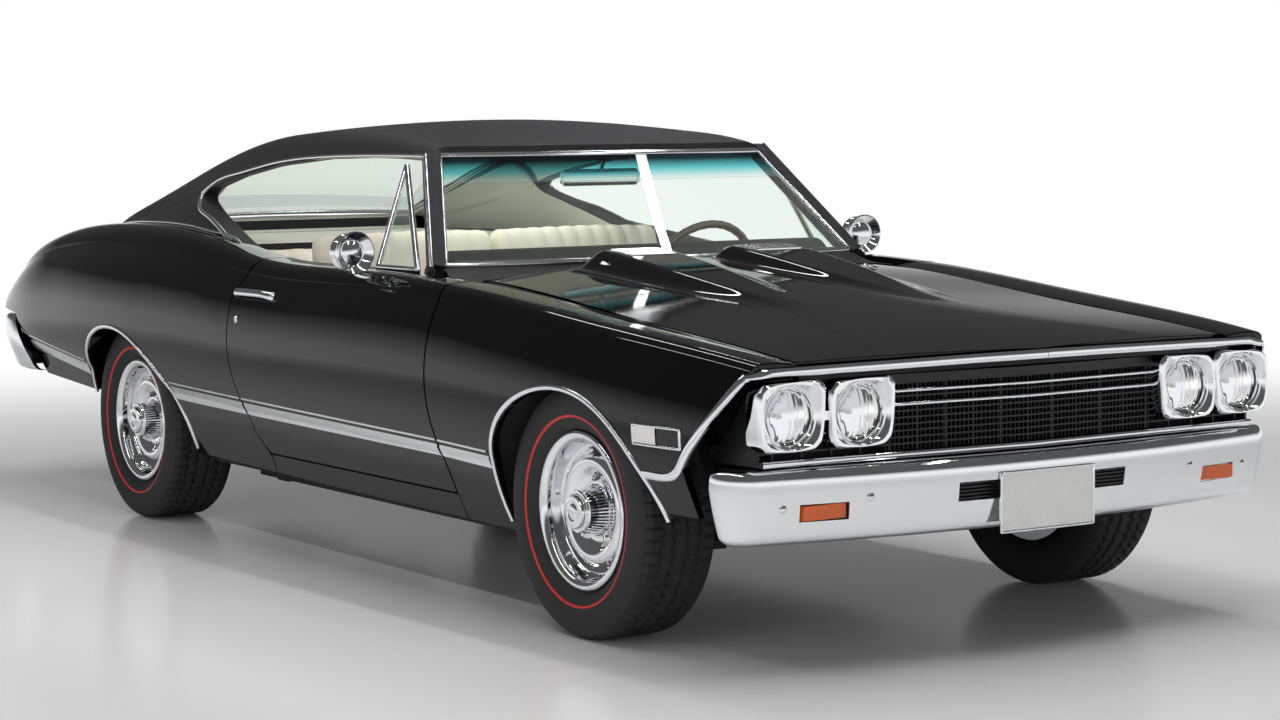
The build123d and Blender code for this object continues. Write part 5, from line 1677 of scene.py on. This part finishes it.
def bumper(levels, corner, end_w, end_x, holes, back=False):
    rows = smooth_path(levels, 60)
    layers = []
    for depth in (0, BUMPER_DEEP):
        layer = []
        for z, d in rows:
            d = d + depth
            turned = corner[0] - d, corner[1] - CORNER_PULL * d
            line = bumper_row(BUMPER_X - d, turned, (end_x(z), end_w - d))
            layer.append(np.column_stack([line, np.full(len(line), z)]))
        layers.append(np.array(layer))
    n, m = layers[0].shape[:2]
    middle = (layers[0][:-1, :-1] + layers[0][1:, 1:]) / 2
    keep = np.ones((n - 1, m - 1), bool)
    for y0, y1, z0, z1 in holes:
        w, z = np.abs(middle[..., 1]), middle[..., 2]
        keep &= ~((w > y0) & (w < y1) & (z > z0) & (z < z1) & (middle[..., 0] > HOLES_FROM))
    quads = np.array(strip_faces(n, m, closed=False))[keep.ravel()].tolist()
    outer, inner = (layer.reshape(-1, 3) for layer in layers)
    if back:
        outer, inner = outer * (-1, 1, 1), inner * (-1, 1, 1)
        quads = [quad[::-1] for quad in quads]
    return thick(outer, inner, quads)


front_shell = bumper(FRONT_LEVELS, FRONT_CORNER, FRONT_HALF, FRONT_END, FRONT_HOLES)
rear_shell = bumper(REAR_LEVELS, REAR_CORNER, REAR_HALF, REAR_END, [], back=True)
for name, shell in (("front_bumper", front_shell), ("rear_bumper", rear_shell)):
    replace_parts(add_mesh(f"{name}_pressed", [shell], "body", "chrome", sharp=50), name)
print("bumpers pressed:", len(front_shell[1]) + len(rear_shell[1]), "faces")

# %% [markdown]
# ## Air slots in the bumper
# Behind the two air slots lie dark louvres. The slot could be left as a hole, but then the light of
# the floor would shine through. Five thin slats each are enough to close it.

# %% Air slots
LOUVRE_X, LOUVRE_Y = (2462, 2480), (130, 270)
LOUVRE_LEVELS, LOUVRE_HIGH = (402, 411, 420, 429, 438), 4
vents = []
for sign in (-1, 1):
    y0, y1 = (sign * y for y in LOUVRE_Y)
    vents += [block(*LOUVRE_X, y0, y1, z, z + LOUVRE_HIGH) for z in LOUVRE_LEVELS]
add_mesh("bumper_vents", vents, "body", "satin_black")
print("louvres:", len(vents))

# %% [markdown]
# ## Mirrors, handles and locks
# A round mirror stands on a bent arm; further back lie the door's pull handle with its button and
# the lock. They are cast and turned pieces, so the lathe and the sweep make them. The model's plain
# fittings are replaced, and all of it rides the door.

# %% Mirrors, handles and locks
MIRROR = [(0.2, 40), (14, 39), (28, 35), (40, 28), (49, 17), (54, 4), (55, -6), (53, -11), (50, -11)]
MIRROR += [(48, -8), (0.2, -8)]
MIRROR_ARM = [(540, -912, 924), (548, -905, 905), (562, -878, 893), (580, -846, 890)]
MIRROR_FOOT = [(24, -3), (24, 5), (18, 9), (0.2, 10)]
MIRROR_PLACE, MIRROR_AIM = (526, -918, 962), (1, 0.08, 0)
FOOT_PLACE, FOOT_OUT = (580, -848, 886), (0, -0.35, 0.94)
# Columns: x, z, radius, height
LOCK, BUTTON = (-176, 733, 12, 5), (22, 810, 13, 14)
TUBE_UP = (0.13, 0.21, 0.97)
HANDLE_FROM, HANDLE_TO, HANDLE_Z, HANDLE_STEPS = -212, 34, 810.0, 60
HANDLE_OUT, HANDLE_HALF, HANDLE_THICK = 24, 12, 6


def tube(path, radius, count=14):
    """A round bar along a path."""
    turn = np.linspace(0, 2 * math.pi, count + 1)
    path = np.asarray(path, float)
    circle = np.stack([np.cos(turn), np.sin(turn)], 1) * radius
    return swept(path, np.broadcast_to(TUBE_UP, path.shape), circle)


def handle():
    x = np.linspace(HANDLE_FROM, HANDLE_TO, HANDLE_STEPS)
    out = HANDLE_OUT * np.clip(np.sin(np.linspace(0, math.pi, HANDLE_STEPS)) * 2.2, 0, 1) ** 0.6
    path, lift = on_side(np.stack([x, np.full(HANDLE_STEPS, HANDLE_Z)], 1))
    turn = np.linspace(0, 2 * math.pi, 21)
    oval = np.stack([np.cos(turn) * HANDLE_HALF, np.sin(turn) * HANDLE_THICK], 1)
    return swept(path + lift * out[:, None], lift, oval)


def disc_on_side(x, z, radius, height):
    (point,), (lift,) = on_side([(x, z)])
    profile = [(radius, -3), (radius, height * 0.6), (radius * 0.8, height), (0.2, height * 0.9)]
    return lathe(profile, 28, point, lift, (1, 0, 0.01))


head = lathe(smooth_path(MIRROR, 36), 64, MIRROR_PLACE, MIRROR_AIM, (0, 0, 1))
arm = tube(smooth_path(MIRROR_ARM, 20), 9)
foot = lathe(MIRROR_FOOT, 32, FOOT_PLACE, FOOT_OUT, (1, 0, 0))
lock, button = disc_on_side(*LOCK), disc_on_side(*BUTTON)
fittings = [head, arm, foot, handle(), lock, button]
node = "door_fittings_{}"
mesh_pair(node + "_polished", fittings, "door_{}", "chrome", node=node)
print("fittings on each door:", len(fittings))

# %% [markdown]
# ## Vent windows
# The small three-cornered pane in front of the door glass leans inward with the pillar. One flat
# prism of glass is enough. Its width follows from its height, as on the frame that holds it.

# %% Vent windows
VENT = [(470, 914), (706, 914), (408, 1196)]
VENT_Z, VENT_RISE, VENT_W, VENT_LEAN = 914, 298, 794, 142


def vent_point(x, z, inward):
    share = (z - VENT_Z) / VENT_RISE
    return (x, -(VENT_W - VENT_LEAN * share) + inward, z)


pane = [vent_point(x, z, shift) for shift in (-2, 2) for x, z in VENT]
vent_glass = (pane, [(0, 1, 2), (5, 4, 3), (0, 3, 4, 1), (1, 4, 5, 2), (2, 5, 3, 0)])
mesh_pair("vent_glass_{}", [vent_glass], "door_{}", "tinted_glass")
print("vent panes:", len(SIDES))

# %% [markdown]
# ## Marker lamps
# Each fender carries a marker behind its nose: a ribbed white lens and a plain dark field in one
# bright frame. Flat boxes would stand off the curved fender. So lens and field are patches of the
# body side with fine ribs, and the frame is a bead laid round them.

# %% Marker lamps
MARKER_TOP, MARKER_LOW, MARKER_RIB = 590, 549, 6
# Columns: from x, to x, lift
MARKER_LENS, MARKER_BLANK = (2030, 2116, 3), (2122, 2208, 2.5)
MARKER_EDGE = [(2026, 546), (2212, 546), (2212, 593), (2026, 593), (2026, 546)]


def marker_block(x0, x1, lift):
    x = np.linspace(x0, x1, 24)[:, None]
    z = np.linspace(MARKER_TOP, MARKER_LOW, 8)[None, :]
    x, z = np.broadcast_arrays(x, z)
    points, normal = side_block(x, side_where(x, z), lift)
    ribs = 0.8 * np.abs(np.sin(x / MARKER_RIB))
    return points + normal * ribs[..., None], normal


path, lift = on_side(even_path(MARKER_EDGE, 121)[:-1])
marker_frame = swept(path, lift, bead(8, 6), closed=True)
mesh_pair("marker_frame_{}", [marker_frame], "body", "chrome")
skin_pair("marker_lens_{}", [marker_block(*MARKER_LENS)], "body", "white_lens")
skin_pair("marker_blank_{}", [marker_block(*MARKER_BLANK)], "body", "satin_black")
print("markers:", len(SIDES))

# %% [markdown]
# ## Seats
# The seats are benches in pleated vinyl. A cloth simulation could swell them, but would take long
# and come out a little different each time. Here a pad is a soft ring swept across the car: the
# side view gives the ring, its ends close in a quarter circle, and the padding swells between the
# seams of each pleat. The pads replace the model's plain blocks.

# %% Pads
PAD_CROWN, PLEAT_POWER, PLEAT_REACH = 10, 0.55, 1.6
# A pleat this wide is wider than any pad, so the pad stays plain.
NO_PLEAT = 2000


def pad(outline, y0, y1, pitch, swell, face, soft=34, count=90, step=9.0):
    """A pleated pad between y0 and y1; face is the side-view direction that carries the pleats."""
    ring = soft_ring(outline, count)
    run = np.roll(ring, -1, 0) - np.roll(ring, 1, 0)
    normal = unit(np.stack([run[:, 1], -run[:, 0]], 1))
    if np.sum((ring - ring.mean(0)) * normal) < 0:
        normal = -normal
    pleated = np.clip(normal @ unit(face) * PLEAT_REACH, 0, 1)
    lines = []
    for y in np.linspace(y0, y1, max(12, int((y1 - y0) / step))):
        edge = min(y - y0, y1 - y)
        inset = soft * (1 - math.sqrt(1 - (1 - min(edge / soft, 1)) ** 2))
        phase = abs(math.sin(math.pi * (y - y0) / pitch)) ** PLEAT_POWER
        crown = PAD_CROWN * (1 - ((2 * y - y0 - y1) / (y1 - y0)) ** 2) if swell else 0
        reach = -inset + (swell * (phase - 1) * (edge > soft * 0.8) + crown) * pleated
        line = ring + normal * reach[:, None]
        lines.append(np.column_stack([line[:, 0], np.full(count, y), line[:, 1]]))
    index = np.arange(len(lines) * count).reshape(len(lines), count)
    after = np.roll(index, -1, 1)
    faces = np.stack([index[:-1], after[:-1], after[1:], index[1:]], -1).reshape(-1, 4).tolist()
    faces += [index[0][::-1].tolist(), index[-1].tolist()]
    return np.array(lines).reshape(-1, 3), faces


def plain_pad(outline, y0, y1, soft, step):
    return pad(outline, y0, y1, NO_PLEAT, 0, (0, 1), soft=soft, step=step)


print("pad tools ready")

# %% [markdown]
# ## Benches
# In front a broad cushion carries two backs that fold forward; behind is a narrower bench. Their
# outlines are side views, and each row below names its pleats. Low black stands hold the front
# bench off the carpet.

# %% Benches
FRONT_CUSHION = [(400, 396), (376, 458), (300, 480), (-100, 446), (-128, 340), (356, 330)]
FRONT_BACK = [(-62, 430), (-198, 930), (-224, 976), (-272, 980), (-300, 940), (-196, 410)]
REAR_CUSHION = [(-300, 420), (-334, 466), (-640, 446), (-690, 330), (-330, 320)]
REAR_BACK = [(-626, 436), (-742, 876), (-776, 912), (-862, 910), (-776, 540), (-700, 420)]
# Columns: name, outline, from y, to y, pleat width, swell, pleated side, node it stands for
PADS = [
    ("front_cushion", FRONT_CUSHION, -640, 640, 64, 9, (0.1, 1), "front_seat"),
    ("front_back_right", FRONT_BACK, -640, -6, 62, 9, (1, 0.3), "front_seat"),
    ("front_back_left", FRONT_BACK, 6, 640, 62, 9, (1, 0.3), "front_seat"),
    ("rear_cushion", REAR_CUSHION, -570, 570, 95, 10, (0.1, 1), "rear_seat"),
    ("rear_back", REAR_BACK, -570, 570, 95, 12, (1, 0.3), "rear_seat"),
]
PAD_FILL, STAND_FOOT = 0.85, 252.5
for name, outline, y0, y1, pitch, swell, face, node in PADS:
    cushion = pad(outline, y0, y1, pitch, swell, face)
    seat = add_mesh(name, [cushion], "body", "ivory_vinyl", sharp=70)
    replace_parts(seat, node)
stands = [block(-100, 330, sign * 500, sign * 470, STAND_FOOT, 350) for sign in (-1, 1)]
stands += [block(x - 6, x + 6, -500, 500, STAND_FOOT, 330) for x in (-90, 320)]
add_mesh("front_seat_base", stands, "body", "satin_black")
print("pads:", len(PADS))

# %% [markdown]
# ## Pillar feet
# Outside, the windscreen pillar ends in a small painted foot on the cowl. It is a soft wedge, and
# the pad tool without pleats gives such a wedge at once.

# %% Pillar feet
PILLAR_FOOT = [(694, 884), (774, 884), (752, 922), (716, 934)]
pillar_foot = plain_pad(PILLAR_FOOT, -769, -722, soft=5, step=4)
mesh_pair("pillar_foot_{}", [pillar_foot], "body", "paint", sharp=50)
print("pillar foot points:", len(pillar_foot[0]))

# %% [markdown]
# ## Headliner
# Pale cloth is stretched under the roof. A copy of the roof's mesh, moved inward, would fold at the
# corners. So rings are laid a little inside the roof's own stations, from one drip rail over the
# crown to the other, and the last ring closes up to the rear window.

# %% Headliner
ROOF_SHOULDER = [(550, 990), (556, 1085), (562, 1184), (565, 1260), (566, 1298), (566, 1304)]
ROOF_SHOULDER += [(560, 1292), (535, 1246)]
ROOF_CROWN = [1000, 1106, 1214, 1296, 1330, 1339, 1318, 1260]
LINER, WING_BEND = 37.0, -0.12
ROOF_FROM, ROOF_TO, ROOF_RINGS, ROOF_END = 436, -966, 60, (-979, 4)


def roof_ring(x, inset, count=48):
    weights = curve_weights(ROOF_X, [x])
    drip, shoulder = (np.ravel(weights @ np.array(v, float)) for v in (ROOF_DRIP, ROOF_SHOULDER))
    crown = float((weights @ np.array(ROOF_CROWN, float))[0]) - inset
    drip = (drip[0] - inset, drip[1] - inset * 0.5)
    shoulder = (shoulder[0] - inset * 0.7, shoulder[1] - inset)
    wing = arc_points(drip, bulged(drip, shoulder, WING_BEND), shoulder, 9)
    top = arc_points((-shoulder[0], shoulder[1]), (0, crown), shoulder, count)
    line = np.concatenate([wing[:-1] * (-1, 1), top, wing[:-1][::-1]])
    return np.column_stack([np.full(len(line), x), line])


rings = [roof_ring(x, LINER) for x in np.linspace(ROOF_FROM, ROOF_TO, ROOF_RINGS)]
liner = grid_part(np.array(rings + [roof_ring(*ROOF_END)]))
add_mesh("headliner", [liner], "body", "headliner", sharp=60)
print("headliner rings:", len(rings) + 1)

# %% [markdown]
# ## Linings of the cabin's corners
# Beside the rear window, along the quarter and up the windscreen pillar the same cloth covers bare
# metal. Each is a sheet between two edges that are already known, so no sheet has to be fitted by
# hand. Where the side window is, the sail trim stops at its sill.

# %% Corner linings
BACK_X, BACK_W, BACK_Z = ([low, top] for low, top in zip(BACK_LOW, BACK_TOP[:3]))
SILL_X, SILL_Z = [-990, -960, -822, -579, -336], [1098, 1078, 1036, 965, 895]
SAIL_FROM, SAIL_TO, SAIL_FOOT = -400, -1770, 880.0
QUARTER_X, QUARTER_Z = (-250, -760), (440, 905)
QUARTER_W, QUARTER_FOOT, QUARTER_RISE, QUARTER_LEAN = 768, 252, 674, 30
PILLAR_SHIFT, PILLAR_STEP = (-8, 6, -4), (-17.0, -4, -2)


def sail_line(x):
    """Width and height up the wall at x, and behind the side window over to the rear window."""
    weights = curve_weights(ROOF_X, [x])
    rows = (ROOF_BASE, ROOF_DRIP, ROOF_SHOULDER)
    base, drip, shoulder = (np.ravel(weights @ np.array(row, float)) for row in rows)
    base, drip = base - (LINER, 3 * LINER), drip - (LINER, 0.5 * LINER)
    shoulder = shoulder - (0.7 * LINER, LINER)
    behind = x < SILL_X[0]
    top = drip[1] if behind else np.interp(x, SILL_X, SILL_Z) - 3
    z = np.linspace(max(base[1], SAIL_FOOT), top, 12)
    w = base[0] + (drip[0] - base[0]) * (z - base[1]) / (drip[1] - base[1])
    line = np.stack([w, z], 1)
    wing = arc_points(drip, bulged(drip, shoulder, WING_BEND), shoulder, 9)
    corner = (np.interp(x, BACK_X, BACK_W) - 3, np.interp(x, BACK_X, BACK_Z) - 6)
    over = np.concatenate([wing, np.linspace(shoulder, corner, 4)])
    return np.concatenate([line, over if behind else np.repeat(line[-1:], len(over), 0)])


def sail_grid():
    lines = []
    for x in np.linspace(SAIL_FROM, SAIL_TO, 60):
        line = sail_line(x)
        lines.append(np.column_stack([np.full(len(line), x), -line[:, 0], line[:, 1]]))
    return np.array(lines)


def quarter_lining():
    x, z = np.meshgrid(np.linspace(*QUARTER_X, 24), np.linspace(*QUARTER_Z, 16), indexing="ij")
    w = QUARTER_W - (z - QUARTER_FOOT) / QUARTER_RISE * QUARTER_LEAN
    return np.stack([x, -w, z], -1)


def pillar_lining():
    low, top = (np.array((x, -w, z)) for x, w, z, _ in (SCREEN_LOW, SCREEN_TOP))
    edge = low + np.linspace(0.0, 0.94, 24)[:, None] * (top - low)
    return np.stack([edge + (np.array(PILLAR_SHIFT) + np.array(PILLAR_STEP) * k) for k in range(5)], 1)


lining = [grid_part(sail_grid()), grid_part(quarter_lining()), grid_part(pillar_lining())]
mesh_pair("sail_trim_{}", lining, "body", "headliner", sharp=60)
print("lining faces on each side:", sum(len(part[1]) for part in lining))

# %% [markdown]
# ## Boot lining
# Dark mats lie beside the boot's floor and across the corner behind it. Without them daylight
# shows past the floor when the lid is up. Flat sheets are enough under a carpet finish.

# %% Boot lining
MAT_Z, MAT_X = 503.0, -2376.0


def boot_lining():
    x, w = np.meshgrid(np.linspace(-1590, -2390, 12), np.linspace(576, 770, 6), indexing="ij")
    z, v = np.meshgrid(np.linspace(504, 690, 6), np.linspace(576, 744, 6), indexing="ij")
    floor_mat = np.stack([x, -w, np.full(x.shape, MAT_Z)], -1)
    return floor_mat, np.stack([np.full(z.shape, MAT_X), -v, z], -1)


mats = [grid_part(mat) for mat in boot_lining()]
mesh_pair("boot_lining_{}", mats, "body", "carpet", sharp=60)
print("mats:", len(mats) * len(SIDES))

# %% [markdown]
# ## Door cards and window cranks
# Inside each door is a padded card with a row of upright rolls, an armrest and a small crank. The
# rolls could be a bump, but they stand out far enough to shade each other, so they are round bars
# half sunk in the card. Extra points beside the card's corners keep its rounding small.

# %% Door cards and cranks
CARD_BOX, CARD_BACK, CARD_FACE, REST_FACE = (-130, 940, 430, 876, 44), -786, -779, -728
CARD_ROLLS, ROLL_R, ROLL_LOW, ROLL_TOP = range(-98, 920, 42), 9, 450, 600
ARMREST = [(40, 640), (40, 690), (420, 700), (420, 650)]
CRANK_KNOB = [(16, 0), (16, 10), (0.2, 12)]
CRANK_ARM = [(470, -766, 600), (430, -762, 590), (390, -760, 574)]


def boxed(x0, x1, z0, z1, corner):
    x, z = (x0, x0 + corner, x1 - corner, x1), (z0, z0 + corner, z1 - corner, z1)
    low, high = [(v, z0) for v in x[::-1]], [(v, z1) for v in x]
    return [(x0, z[1]), (x0, z[2]), *high, (x1, z[2]), (x1, z[1]), *low]


card = plain_pad(boxed(*CARD_BOX), CARD_BACK, CARD_FACE, soft=3, step=1.0)
rest = plain_pad(ARMREST, CARD_FACE, REST_FACE, soft=20, step=4.0)
lines = [[(x, CARD_FACE, z) for z in (ROLL_LOW, ROLL_TOP)] for x in CARD_ROLLS]
rolls = [tube(even_path(line, 8), ROLL_R) for line in lines]
mesh_pair("door_card_{}", [card, rest, *rolls], "door_{}", "ivory_vinyl", sharp=50)
crank = [lathe(CRANK_KNOB, 24, (470, CARD_FACE, 600), (0, 1, 0), (1, 0, 0)), tube(CRANK_ARM, 5)]
mesh_pair("window_crank_{}", crank, "door_{}", "chrome")
print("rolls on each card:", len(rolls))

# %% [markdown]
# ## Dials
# Two large and two small dials sit in the dash. They carry no lettering, so a dark turned face in a
# bright turned ring says all that is seen from outside.

# %% Dials
# Columns: y, z, radius
DIALS = ((430, 838, 44), (318, 838, 44), (230, 836, 26), (510, 836, 24))
DIAL_X = 592
dials, dial_rings = [], []
for y, z, r in DIALS:
    spot = dict(origin=(DIAL_X, y, z), axis=(-1, 0, 0.05), start=(0, 1, 0))
    dials.append(lathe([(0.2, 10), (r - 3, 10), (r - 3, 0)], 48, **spot))
    dial_rings.append(lathe([(r - 4, 8), (r - 3, 13), (r, 14), (r + 2, 10), (r + 2, 0)], 48, **spot))
add_mesh("dials", dials, "body", "satin_black")
add_mesh("dial_rings", dial_rings, "body", "chrome")
print("dials:", len(dials))

# %% [markdown]
# ## Steering wheel
# A wooden rim with finger grips sits on three flat bright spokes. A torus from Blender's menu has
# no grips. A circle is turned about the column instead, and a wave on its radius makes the grips.
# Rim and spokes ride the steering wheel's own joint.

# %% Steering wheel
HUB, COLUMN = np.array((426.0, 370.0, 827.0)), unit((1, 0, -0.404))
RIM_R, RIM_THICK, GRIPS = 192, 12.5, 36
HUB_CAP, SHAFT = [(34, 34), (36, -4), (30, -14), (14, -18), (0.2, -18)], [(12, -6), (12, 128)]
SPOKE = [(-13, -3.5), (-13, 3.5), (-5, 4.5), (5, 4.5), (13, 3.5), (13, -3.5), (-13, -3.5)]
SPOKE_TURNS, SPOKE_FROM, SPOKE_TO, SPOKE_DEEP = (90, 210, 330), 26, 184, 4


def finger_grips(angle, radius, out):
    return RIM_R + (radius - RIM_R) * (1 + 0.05 * np.cos(angle * GRIPS)), out


around = dict(origin=HUB, axis=COLUMN, start=(0, 1, 0))
turn = np.linspace(0, 2 * math.pi, 25)
rim_line = np.stack([RIM_R + RIM_THICK * np.cos(turn), RIM_THICK * np.sin(turn)], 1)
rim = lathe(rim_line, 180, shift=finger_grips, **around)
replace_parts(add_mesh("steering_rim", [rim], "steering_wheel", "rim_wood"), "steering_wheel")
up = np.cross(COLUMN, (0, 1, 0))
spokes = [lathe(HUB_CAP, 48, **around), lathe(SHAFT, 24, **around)]
for degrees in SPOKE_TURNS:
    angle = math.radians(degrees)
    outward = math.cos(angle) * np.array((0, 1.0, 0)) - math.sin(angle) * up
    path = HUB + np.outer(np.linspace(SPOKE_FROM, SPOKE_TO, 12), outward) + COLUMN * SPOKE_DEEP
    spokes.append(swept(path, COLUMN, SPOKE))
add_mesh("steering_spokes", spokes, "steering_wheel", "bright_trim")
print("spokes:", len(SPOKE_TURNS))

# %% [markdown]
# ## Package tray, dash pad and inside mirror
# A cloth tray with a raised lip closes the cabin below the rear window, a dark padded roll tops the
# dash, and a mirror hangs from the header. All three are soft-edged boxes, so the pad tool without
# pleats makes them, each with its own rounding.

# %% Tray, dash pad and mirror
TRAY = [(-884, 926), (-884, 934), (-1738, 934), (-1738, 926)]
DASH_PAD = [(716, 884), (694, 926), (655, 956), (600, 960), (572, 938), (566, 905), (592, 882)]
MIRROR_BACK = [(442, 1132), (442, 1184), (424, 1184), (424, 1132)]
MIRROR_STEM = [(470, 0, 1236), (456, 0, 1214), (438, 0, 1182)]
TRAY_HALF, DASH_HALF, MIRROR_HALF = 536, 700, 140
tray = plain_pad(TRAY, -TRAY_HALF, TRAY_HALF, soft=3, step=20)
lip_lines = [np.linspace((-1736, y, 932), (-1788, y, 988), 5) for y in (TRAY_HALF, 0, -TRAY_HALF)]
lip = grid_part(np.stack(lip_lines))
add_mesh("package_tray", [tray, lip], "body", "headliner", sharp=50)
dash_pad = plain_pad(DASH_PAD, -DASH_HALF, DASH_HALF, soft=26, step=26)
add_mesh("dash_pad", [dash_pad], "body", "dash_vinyl", sharp=60)
mirror = plain_pad(MIRROR_BACK, -MIRROR_HALF, MIRROR_HALF, soft=16, step=6)
stem = tube(even_path(MIRROR_STEM, 10), 7)
add_mesh("inside_mirror", [mirror, stem], "body", "chrome")
print("tray, dash pad and mirror added")
